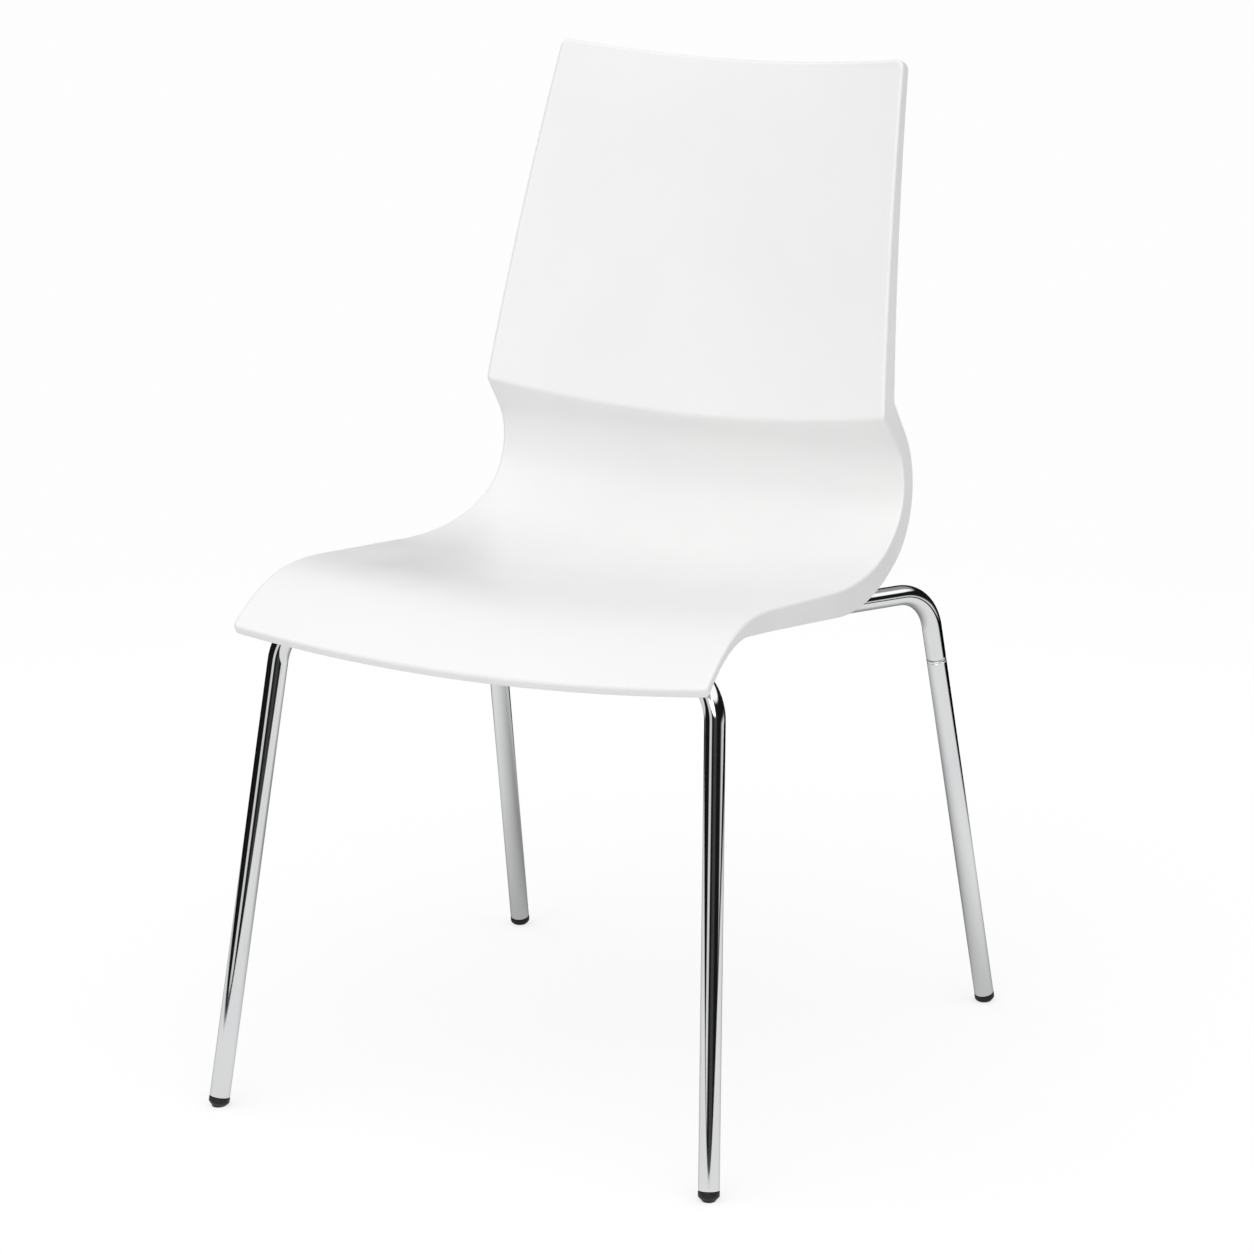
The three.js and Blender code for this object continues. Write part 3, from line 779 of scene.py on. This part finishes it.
def screw(length):
    """A button head with a hexagon socket, and a threaded shank. The head's flat is at height 0."""

    def socket(angle):
        return SOCKET_APOTHEM / math.cos(angle % (math.pi / 3) - math.pi / 6)

    top, socket_floor = -HEAD_HEIGHT, SOCKET_DEPTH - HEAD_HEIGHT
    head = [(HEAD_R * 0.55, top), (HEAD_R * 0.85, top * 0.75), (HEAD_R, top * 0.3)]
    profile = [(0, socket_floor + 0.4), (socket, socket_floor), (socket, top + 0.2)]
    profile += [(SOCKET_APOTHEM * 1.3, top)]
    profile += [tuple(p) for p in softened([*head, (HEAD_R, 0), (SCREW_R, 0)], 0.8, 3)]
    shank = PLAIN_SHANK
    while shank < length - THREAD_PITCH:
        profile += [(SCREW_R, shank), (SCREW_R - THREAD_DEPTH, shank + THREAD_PITCH / 2)]
        shank += THREAD_PITCH
    return lathe([*profile, (SCREW_R - 2 * THREAD_DEPTH, length), (0, length)])


def build_fixings():
    for name, axis, level, outward, holder in fixings():
        plate = tab(axis, level, outward, holder)
        add_piece(f"tab_{name}", plate, STEEL, [f"mount_tab_{name}"], bevel=0.4)
        low, high = cad_levels(f"mount_screw_{name}")
        points, faces = screw(high - low - HEAD_HEIGHT)
        placed = np.array(points) + axis + (0, 0, low + HEAD_HEIGHT)
        add_piece(f"screw_{name}", (placed, faces), STEEL, [f"mount_screw_{name}"])
        add_ring(f"washer_{name}", axis, f"mount_washer_{name}", WASHER_R, STEEL)
        add_ring(f"insert_{name}", axis, f"thread_insert_{name}", INSERT_R, BRASS, knurl=0.25)


def add_ring(name, axis, cad_node, outer, finish, knurl=0.0):
    """A ring about a screw, as high as its CAD node. A knurled one has a toothed outside."""
    low, high = cad_levels(cad_node)
    inner = SCREW_R + GAP
    height = high - low
    edge = 0.25

    def toothed(angle):
        return outer - knurl * (0.5 - 0.5 * math.cos(angle * LATHE_SIDES / 2))

    rim = toothed if knurl else outer
    flat = outer - edge - knurl
    profile = [(inner, edge), (inner + edge, 0), (flat, 0), (rim, edge)]
    points, faces = lathe(profile + [(r, height - h) for r, h in reversed(profile)])
    add_piece(name, (np.array(points) + axis + (0, 0, low), faces), finish, [cad_node], sharp=50)


# ---- stacking pads -----------------------------------------------------------------------------


def pad():
    """A clip about +Z whose opening faces +Y."""
    inner = TUBE_R + 1.5 * GAP
    outer = inner + PAD_WALL
    open_half = math.radians(PAD_OPEN)
    count = 40
    angles = np.linspace(math.pi / 2 + open_half, 5 * math.pi / 2 - open_half, count)
    outside = [(outer * math.cos(a), outer * math.sin(a)) for a in angles]
    inside = [(inner * math.cos(a), inner * math.sin(a)) for a in angles[::-1]]
    lips = (0, count - 1, count, 2 * count - 1)
    reach = [PAD_WALL * 0.3 if k in lips else 0 for k in range(2 * count)]
    outline = softened(outside + inside, reach, 3, closed=True)
    count = len(outline)
    ends = (-PAD_WIDTH / 2, PAD_WIDTH / 2)
    points = [(x, y, z) for z in ends for x, y in outline]
    faces = grid_faces(2, count, False, True)
    faces += [tuple(range(count)), tuple(range(2 * count - 1, count - 1, -1))]
    return np.array(points), faces


def build_pads():
    points, faces = pad()
    for word, side in SIDES:
        on_bar = np.array((side * PAD_FRONT_X, CROSS_BAR_Y, CROSS_BAR_Z))
        start, end = rear_leg(side, REAR_CORNER_Z), arm_end(side)
        on_arm = start + (end - start) * PAD_ARM_SHARE
        for place, centre, run in (("front", on_bar, FRONT_BAR[1]), ("rear", on_arm, arm_run(side))):
            across = unit(np.cross((0, 0, 1), run))
            placed = points @ np.stack([across, np.cross(run, across), run]) + centre
            name = f"{place}_{word}"
            add_piece(f"pad_{name}", (placed, faces), GREY, [f"stack_pad_{name}"], bevel=0.25)


# ---- shell -------------------------------------------------------------------------------------


def straight(a, b):
    a, b = np.array(a, float), np.array(b, float)
    return lambda t: a + (b - a) * t


def curved(a, control, b):
    a, control, b = (np.array(p, float) for p in (a, control, b))
    return lambda t: (1 - t) ** 2 * a + 2 * t * (1 - t) * control + t * t * b


def bowed(a, b, bow):
    a, b = np.array(a, float), np.array(b, float)
    run = unit(b - a)
    return curved(a, (a + b) / 2 + 2 * bow * np.array((run[1], -run[0])), b)


def arc(centre, radius, start, end):
    def point(t):
        angle = math.radians(start + (end - start) * t)
        return np.array((centre[0] + radius * math.cos(angle), centre[1] + radius * math.sin(angle)))

    return point


def outline_pieces():
    """Deck curve, skirt curve, and the names of the cross shapes at the two ends of each piece."""
    hip, skirt_hip = arc(*DECK_HIP), arc(*SKIRT_HIP)
    return [
        (bowed(DECK_TOP, DECK_CREASE, BACK_BOW), bowed(SKIRT_TOP, SKIRT_CREASE, BACK_BOW), "top", "crease"),
        (straight(DECK_CREASE, hip(0)), straight(SKIRT_CREASE, skirt_hip(0)), "crease", "hip"),
        (hip, skirt_hip, "hip", "hip_end"),
        (curved(hip(1), *DECK_SEAT), curved(skirt_hip(1), *SKIRT_SEAT), "hip_end", "seat"),
        (straight(DECK_SEAT[1], DECK_MID), straight(SKIRT_SEAT[1], SKIRT_MID), "seat", "mid"),
        (curved(DECK_MID, *DECK_CROWN), straight(SKIRT_MID, SKIRT_CROWN), "mid", "crown"),
        (curved(DECK_CROWN[1], *DECK_NOSE), curved(SKIRT_CROWN, *SKIRT_NOSE), "crown", "nose"),
    ]


class Shell:
    """The shell as layers. q runs down the side outline in millimetres, from the top edge of the back
    (0) to the front edge of the seat. A layer lies a given inset inside the outline, and a given
    depth below the deck along the side walls."""

    SAMPLES = 240  # for each outline piece

    def __init__(self):
        rows = []
        for deck, skirt, start, end in outline_pieces():
            for k in range(0 if not rows else 1, self.SAMPLES + 1):
                t = k / self.SAMPLES
                ease = t * t * (3 - 2 * t)
                sag = np.array(SAG[start]) * (1 - ease) + np.array(SAG[end]) * ease
                half = HALF_WIDTH[start] * (1 - t) + HALF_WIDTH[end] * t
                rows.append((*deck(t), *skirt(t), *sag, half))
        self.table = np.array(rows)
        steps = np.hypot(*np.diff(self.table[:, :2], axis=0).T)
        self.q = np.concatenate([[0], np.cumsum(steps)])
        self.length = self.q[-1]
        self.crease = self.q[self.SAMPLES]
        self.middle_rows = self.choose_rows()

    def choose_rows(self):
        """Rows between the two end zones, closer together at the crease."""
        coarse = np.linspace(END_ZONE, self.length - END_ZONE, round(self.length / ROW_STEP))
        reach = 2.5 * CREASE_SOFTNESS
        fine = self.crease + np.arange(-reach, reach + FINE_STEP / 2, FINE_STEP)
        coarse = coarse[np.abs(coarse - self.crease) > reach + 1]
        return np.sort(np.concatenate([coarse, fine]))

    def stations(self, q):
        """Deck, skirt, sag and half width at q, with every kink of the outline rounded off."""
        q = np.asarray(q, float)
        reach = np.minimum(np.minimum(q, self.length - q), CREASE_SOFTNESS)
        total = 0
        shares = np.linspace(-1, 1, 9)
        for share in shares:
            spot = q + reach * share
            total = total + np.stack([np.interp(spot, self.q, column) for column in self.table.T], -1)
        return total / len(shares)

    def rows(self, inset):
        """q of every row of a layer, and how much each row is narrowed by the rounded corners."""
        top = max(TOP_CORNER_R - inset, INNER_CORNER_R)
        nose = max(NOSE_CORNER_R - inset, INNER_CORNER_R)
        top_shares = self.corner_shares(TOP_CORNER_R)
        nose_shares = self.corner_shares(NOSE_CORNER_R)[::-1]
        q = [inset + top * top_shares, self.middle_rows, self.length - inset - nose * nose_shares]
        narrowed = [top * (1 - np.sqrt(1 - (1 - top_shares) ** 2)), np.zeros(len(self.middle_rows))]
        narrowed.append(nose * (1 - np.sqrt(1 - (1 - nose_shares) ** 2)))
        return np.concatenate(q), np.concatenate(narrowed)

    @staticmethod
    def rounding_steps():
        """Distances from the edge of the rows or columns on the rounding."""
        turns = np.radians(np.arange(0, 91, TURN_STEP))
        return SOFT_EDGE * (1 - np.cos(turns))

    def corner_shares(self, radius):
        """Where the rows round a corner lie, as shares of its radius."""
        steps = self.rounding_steps() / radius
        return np.concatenate([steps, np.linspace(steps[-1], 1, CORNER_ROWS + 1)[1:]])

    def ends(self, q):
        """Distance from the top and from the front edge, each with the radius of its corners."""
        return (q, TOP_CORNER_R), (self.length - q, NOSE_CORNER_R)

    def outer_half(self, q, half):
        """Half width of the outermost outline at q, with its rounded corners."""
        cut = np.zeros(len(q))
        for distance, radius in self.ends(q):
            short = np.clip(radius - distance, 0, radius)
            cut += radius - np.sqrt(radius ** 2 - short ** 2)
        return half - cut

    def from_edge(self, x, q, half, inset):
        """Distance from a layer's outline, measured inwards."""
        side = (half - inset)[:, None] - np.abs(x)
        result = np.maximum(side, 0)
        for distance, radius in self.ends(q):
            radius = max(radius - inset, INNER_CORNER_R)
            gap = (distance - inset)[:, None] + 0 * side
            in_corner = (side < radius) & (gap < radius)
            corner = radius - np.hypot(radius - side, radius - gap)
            result = np.where(in_corner, np.minimum(result, corner), np.minimum(result, gap))
        return np.maximum(result, 0)

    def layer(self, inset, depth, edge=0.0):
        """Points of a layer, row by row. depth is a number, or a function of the wall's full depth.
        edge is the radius with which the layer turns down at its outline."""
        q, narrowed = self.rows(inset)
        deck_y, deck_z, skirt_y, skirt_z, sag_y, sag_z, half = self.stations(q).T
        wall = np.stack([skirt_y - deck_y, skirt_z - deck_z], 1)
        full = np.linalg.norm(wall, axis=1)
        down = wall / full[:, None]
        reach = half - inset - narrowed
        edges = np.concatenate([self.rounding_steps(), EDGE_COLUMNS])
        middle = np.linspace(-1, 1, MIDDLE_COLUMNS)
        x = np.concatenate([
            -(reach[:, None] - edges[None, :]),
            (reach[:, None] - END_ZONE) * middle[None, :],
            reach[:, None] - edges[None, ::-1],
        ], axis=1)
        below = depth(full)[:, None] if callable(depth) else np.full((len(q), 1), float(depth))
        if edge:
            near = np.clip(edge - self.from_edge(x, q, half, inset), 0, edge)
            below = below + edge - np.sqrt(edge ** 2 - near ** 2)
        share = 1 - np.clip(np.abs(x) / self.outer_half(q, half)[:, None], 0, 1) ** 2
        y = deck_y[:, None] + sag_y[:, None] * share + down[:, :1] * below
        z = deck_z[:, None] + sag_z[:, None] * share + down[:, 1:] * below
        return np.stack([x, y, z], -1)

    def loops(self):
        """Inset and depth of the loops that lead from the deck, down the outside of the wall, round its
        lower edge and up its inside to the underside."""
        found = [
            (0, lambda full: 0 * full + SOFT_EDGE + FIRM),
            (0, lambda full: SOFT_EDGE + (full - SOFT_EDGE - WALL_EDGE) * 0.5),
            (0, lambda full: full - WALL_EDGE - FIRM),
        ]
        outside = [(WALL_EDGE * (1 - math.cos(a)), WALL_EDGE * (1 - math.sin(a))) for a in QUARTER_TURN]
        inside = [(RIM - inset, rise) for inset, rise in reversed(outside)]
        for inset, rise in outside + inside:
            found.append((inset, lambda full, rise=rise: full - rise))
        root = SKIN + INNER_FILLET
        for up in (0.1, 0.5, 0.9):
            found.append((RIM + DRAFT * up, lambda full, up=up: (full - WALL_EDGE) * (1 - up) + root * up))
        return found

    def solid(self):
        """The whole shell as one closed body."""
        top = self.layer(0, 0, SOFT_EDGE)
        bottom = self.layer(RIM + DRAFT, SKIN, INNER_FILLET)
        rows, columns = top.shape[:2]
        rim = [(0, j) for j in range(columns)]
        rim += [(i, columns - 1) for i in range(1, rows)]
        rim += [(rows - 1, j) for j in range(columns - 2, -1, -1)]
        rim += [(i, 0) for i in range(rows - 2, 0, -1)]
        rim_i, rim_j = np.array(rim).T
        count = rows * columns
        points = [top.reshape(-1, 3)]
        chain = [rim_i * columns + rim_j]
        for k, (inset, depth) in enumerate(self.loops()):
            points.append(self.layer(inset, depth)[rim_i, rim_j])
            chain.append(count + k * len(rim) + np.arange(len(rim)))
        base = count + (len(chain) - 1) * len(rim)
        points.append(bottom.reshape(-1, 3))
        chain.append(base + rim_i * columns + rim_j)
        faces = grid_faces(rows, columns)
        faces += [tuple(reversed(face)) for face in shifted(grid_faces(rows, columns), base)]
        for upper, lower in zip(chain, chain[1:]):
            for a, b, c, d in zip(upper, np.roll(upper, -1), np.roll(lower, -1), lower):
                faces.append((int(a), int(d), int(c), int(b)))
        return np.concatenate(points), faces

    def skin_middle(self, x, y):
        """Height of the middle of the skin over a point under the seat."""
        q = np.linspace(self.crease, self.length, 2000)
        deck_y, deck_z, _, _, _, sag_z, half = self.stations(q).T
        seat = deck_z < SEAT_BELOW_Z
        spot = np.argmin(np.where(seat, np.abs(deck_y - y), np.inf))
        return deck_z[spot] + sag_z[spot] * (1 - (x / half[spot]) ** 2) - SKIN / 2


def boss(axis, foot_level, top_level):
    """A screw boss with four fins that fade into the skin, bored for its insert."""
    fin_root = math.degrees(math.asin(FIN_HALF_WIDTH / BOSS_R))
    outline = []
    for quarter in range(4):
        turn = quarter * 90
        for reach, half in ((BOSS_R, 1), (FIN_REACH, 1), (FIN_REACH, -1), (BOSS_R, -1)):
            along_fin = math.sqrt(reach ** 2 - FIN_HALF_WIDTH ** 2)
            angle = math.radians(turn) - half * math.atan2(FIN_HALF_WIDTH, along_fin)
            outline.append((reach, angle))
        for k in range(1, 8):
            angle = turn + fin_root + (90 - 2 * fin_root) * k / 8
            outline.append((BOSS_R, math.radians(angle)))
    height = top_level - foot_level
    bore, depth = INSERT_R + GAP, min(INSERT_LENGTH + GAP, height - BOSS_END)
    rings = [  # the radius of each ring, and its level
        (lambda r: bore * 0.5, lambda r: depth),
        (lambda r: bore, lambda r: depth),
        (lambda r: bore, lambda r: 0),
        (lambda r: BOSS_R - BOSS_CHAMFER, lambda r: 0),
        (lambda r: r, lambda r: BOSS_CHAMFER + FIN_SLOPE * (r - BOSS_R)),
        (lambda r: r, lambda r: height),
        (lambda r: BOSS_R * 0.5, lambda r: height),
    ]
    points = []
    for radius, level in rings:
        for reach, angle in outline:
            r = radius(reach)
            points.append(axis + (r * math.cos(angle), r * math.sin(angle), foot_level + level(reach)))
    count = len(outline)
    faces = grid_faces(len(rings), count, False, True)
    faces += [tuple(range(count)), tuple(range((len(rings) - 1) * count, len(rings) * count))]
    return points, faces


def build_shell():
    shell = Shell()
    piece = add_piece("seat_shell_moulding", shell.solid(), WHITE, ["seat_shell"])
    reach = (-FIN_REACH, 0, FIN_REACH)
    bosses = []
    for _, axis, level, _, _ in fixings():
        top = min(shell.skin_middle(axis[0] + x, axis[1] + y) for x in reach for y in reach if x * y == 0)
        bosses.append(boss(axis, level + GAP, top))
    joined = new_body("bosses", merged(*bosses))
    modifier = piece.modifiers.new("bosses", "BOOLEAN")
    modifier.operation = "UNION"
    modifier.solver = "EXACT"
    modifier.object = joined
    bpy.context.view_layer.update()
    result = bpy.data.meshes.new_from_object(piece.evaluated_get(bpy.context.evaluated_depsgraph_get()))
    piece.modifiers.clear()
    piece.data = result
    shade(result, 40)
    bpy.data.objects.remove(joined)


# ---- stage -------------------------------------------------------------------------------------


def glow(tree, strength):
    inputs = {"Color": (1, 1, 1, 1), "Strength": strength}
    return node(tree, "ShaderNodeEmission", inputs).outputs["Emission"]


def grey(tree, level):
    inputs = {"Red": level, "Green": level, "Blue": level}
    return node(tree, "ShaderNodeCombineColor", inputs).outputs["Color"]


def distance_from(tree, place, spot):
    inputs = {0: place, 1: spot}
    return node(tree, "ShaderNodeVectorMath", inputs, operation="DISTANCE").outputs["Value"]


def mixed(tree, share, first, second):
    return node(tree, "ShaderNodeMixShader", {0: share, 1: first, 2: second}).outputs["Shader"]


def floor_in_picture(tree, place):
    """Paper that takes soft shadows near the chair."""
    far = smooth(tree, distance_from(tree, place, (0, 0, 0)), *FLOOR_FADE)
    grain = remap(tree, noise(tree, 300, 3), *FLOOR_COLOR)
    paper = node(tree, "ShaderNodeBsdfDiffuse", {"Color": grey(tree, grain)}).outputs["BSDF"]
    near = node(tree, "ShaderNodeAddShader", {0: paper, 1: glow(tree, FLOOR_GLOW)}).outputs["Shader"]
    return mixed(tree, far, near, glow(tree, PAPER))


def floor_as_light(tree, place, glossy):
    """The floor as light for the chair, dimmer in its shade. Reflections show a bright pool."""
    inputs = {"Vector": place, "Location": POOL_CENTRE, "Scale": POOL_SIZE}
    inside = node(tree, "ShaderNodeMapping", inputs, vector_type="TEXTURE").outputs["Vector"]
    pool = smooth(tree, distance_from(tree, inside, (0, 0, 0)), *POOL_FADE, POOL, 0)
    dim = smooth(tree, distance_from(tree, place, DIM_PLACE), 0, DIM_REACH, 1 - DIM_SHARE, 1)
    return glow(tree, maths(tree, "MULTIPLY", blend(tree, glossy, BOUNCE, pool), dim))


def build_floor():
    """The floor. It is clear from below, so that the underside of the chair can be looked at."""
    ring = [(FLOOR_R * math.cos(a), FLOOR_R * math.sin(a), 0) for a in ring_angles(FLOOR_SIDES)]
    mesh = bpy.data.meshes.new("floor")
    mesh.from_pydata(ring, [], [tuple(range(FLOOR_SIDES))])
    floor = new_object("floor", mesh)
    material, tree, shader = new_material("floor_paper")
    tree.nodes.remove(shader)
    place = node(tree, "ShaderNodeTexCoord").outputs["Object"]
    path = node(tree, "ShaderNodeLightPath").outputs
    light = floor_as_light(tree, place, path["Is Glossy Ray"])
    face = mixed(tree, path["Is Camera Ray"], light, floor_in_picture(tree, place))
    under = node(tree, "ShaderNodeNewGeometry").outputs["Backfacing"]
    clear = node(tree, "ShaderNodeBsdfTransparent").outputs["BSDF"]
    output = next(n for n in tree.nodes if n.type == "OUTPUT_MATERIAL")
    tree.links.new(mixed(tree, under, face, clear), output.inputs["Surface"])
    mesh.materials.append(material)


def maths(tree, operation, *values):
    return node(tree, "ShaderNodeMath", dict(enumerate(values)), operation=operation).outputs[0]


def blend(tree, share, first, second):
    return node(tree, "ShaderNodeMix", {"Factor": share, 2: first, 3: second}, data_type="FLOAT").outputs[0]


def smooth(tree, value, low, high, to_low=0.0, to_high=1.0):
    return remap(tree, value, to_low, to_high, low, high, "SMOOTHSTEP")


def patch(tree, azimuth, centre, half, soft):
    """1 within half of an azimuth, falling to 0 over soft, all in degrees."""
    away = maths(tree, "ABSOLUTE", maths(tree, "SUBTRACT", azimuth, math.radians(centre)))
    return smooth(tree, away, math.radians(half), math.radians(half + soft), 1, 0)


def lamp(tree, azimuth, z, level, centre, half, soft, rise=None, fall=None):
    light = maths(tree, "MULTIPLY", patch(tree, azimuth, centre, half, soft), level)
    if rise:
        light = maths(tree, "MULTIPLY", light, smooth(tree, z, *rise))
    if fall:
        light = maths(tree, "MULTIPLY", light, smooth(tree, z, *fall, 1, 0))
    return light


def matt_light(tree, azimuth, z, from_front):
    """Soft light from above and the front, and less of it from the left and from behind."""
    light = maths(tree, "ADD", smooth(tree, z, *DOME_FADE, DOME_LOW, DOME_LOW + DOME_RISE),
                  smooth(tree, z, *ZENITH_FADE, 0, ZENITH))
    for settings in (KEY_LAMP, FILL_LAMP, SIDE_LAMP):
        light = maths(tree, "ADD", light, lamp(tree, azimuth, z, **settings))
    light = maths(tree, "ADD", light, lamp(tree, from_front, z, **BACK_LAMP))
    behind = smooth(tree, from_front, *map(math.radians, DARK_BACK_FROM), 0, DARK_BACK)
    behind = maths(tree, "MULTIPLY", behind, smooth(tree, z, *DARK_BACK_FADE))
    dark = maths(tree, "MAXIMUM", behind, lamp(tree, azimuth, z, **DARK_SIDE))
    return maths(tree, "MAXIMUM", maths(tree, "SUBTRACT", light, dark), 0)


def mirror_light(tree, azimuth, z, from_front):
    """A bright ceiling over a dark horizon with three windows."""
    over = smooth(tree, from_front, *map(math.radians, CEILING_BACK_FROM), CEILING, CEILING_BACK)
    light = maths(tree, "MULTIPLY", over, smooth(tree, z, *CEILING_FADE))
    for settings in (WINDOW, SIDE_WINDOW, FRONT_WINDOW):
        light = maths(tree, "MAXIMUM", light, lamp(tree, azimuth, z, **settings))
    return maths(tree, "ADD", light, maths(tree, "ADD", lamp(tree, azimuth, z, **HAZE), ROOM))


def build_world():
    """White to the camera, one studio to matt surfaces and another to polished ones."""
    world = bpy.data.worlds.new("studio")
    bpy.context.scene.world = world
    world.use_nodes = True
    tree = world.node_tree
    background = next(n for n in tree.nodes if n.type == "BACKGROUND")
    direction = node(tree, "ShaderNodeTexCoord").outputs["Generated"]
    x, y, z = node(tree, "ShaderNodeSeparateXYZ", {"Vector": direction}).outputs
    azimuth = maths(tree, "ARCTAN2", x, maths(tree, "MULTIPLY", y, -1))
    from_front = maths(tree, "ABSOLUTE", azimuth)
    matt = matt_light(tree, azimuth, z, from_front)
    mirror = mirror_light(tree, azimuth, z, from_front)
    path = node(tree, "ShaderNodeLightPath").outputs
    light = blend(tree, path["Is Glossy Ray"], matt, mirror)
    shown = blend(tree, path["Is Camera Ray"], light, PAPER)
    tree.links.new(grey(tree, shown), background.inputs["Color"])


def build_camera():
    camera = new_object("camera", bpy.data.cameras.new("camera"))
    a, e = math.radians(CAMERA_AZIMUTH), math.radians(CAMERA_ELEVATION)
    back = Vector((math.sin(a) * math.cos(e), -math.cos(a) * math.cos(e), math.sin(e)))
    camera.location = CAMERA_PLACE
    camera.rotation_mode = "QUATERNION"
    camera.rotation_quaternion = (-back).to_track_quat("-Z", "Y")
    camera.data.sensor_width = SENSOR
    camera.data.lens = CAMERA_LENS
    bpy.context.scene.camera = camera


build_camera()
build_frame()
build_feet()
build_fixings()
build_pads()
build_shell()
build_floor()
build_world()
bpy.context.scene.view_settings.view_transform = "Standard"
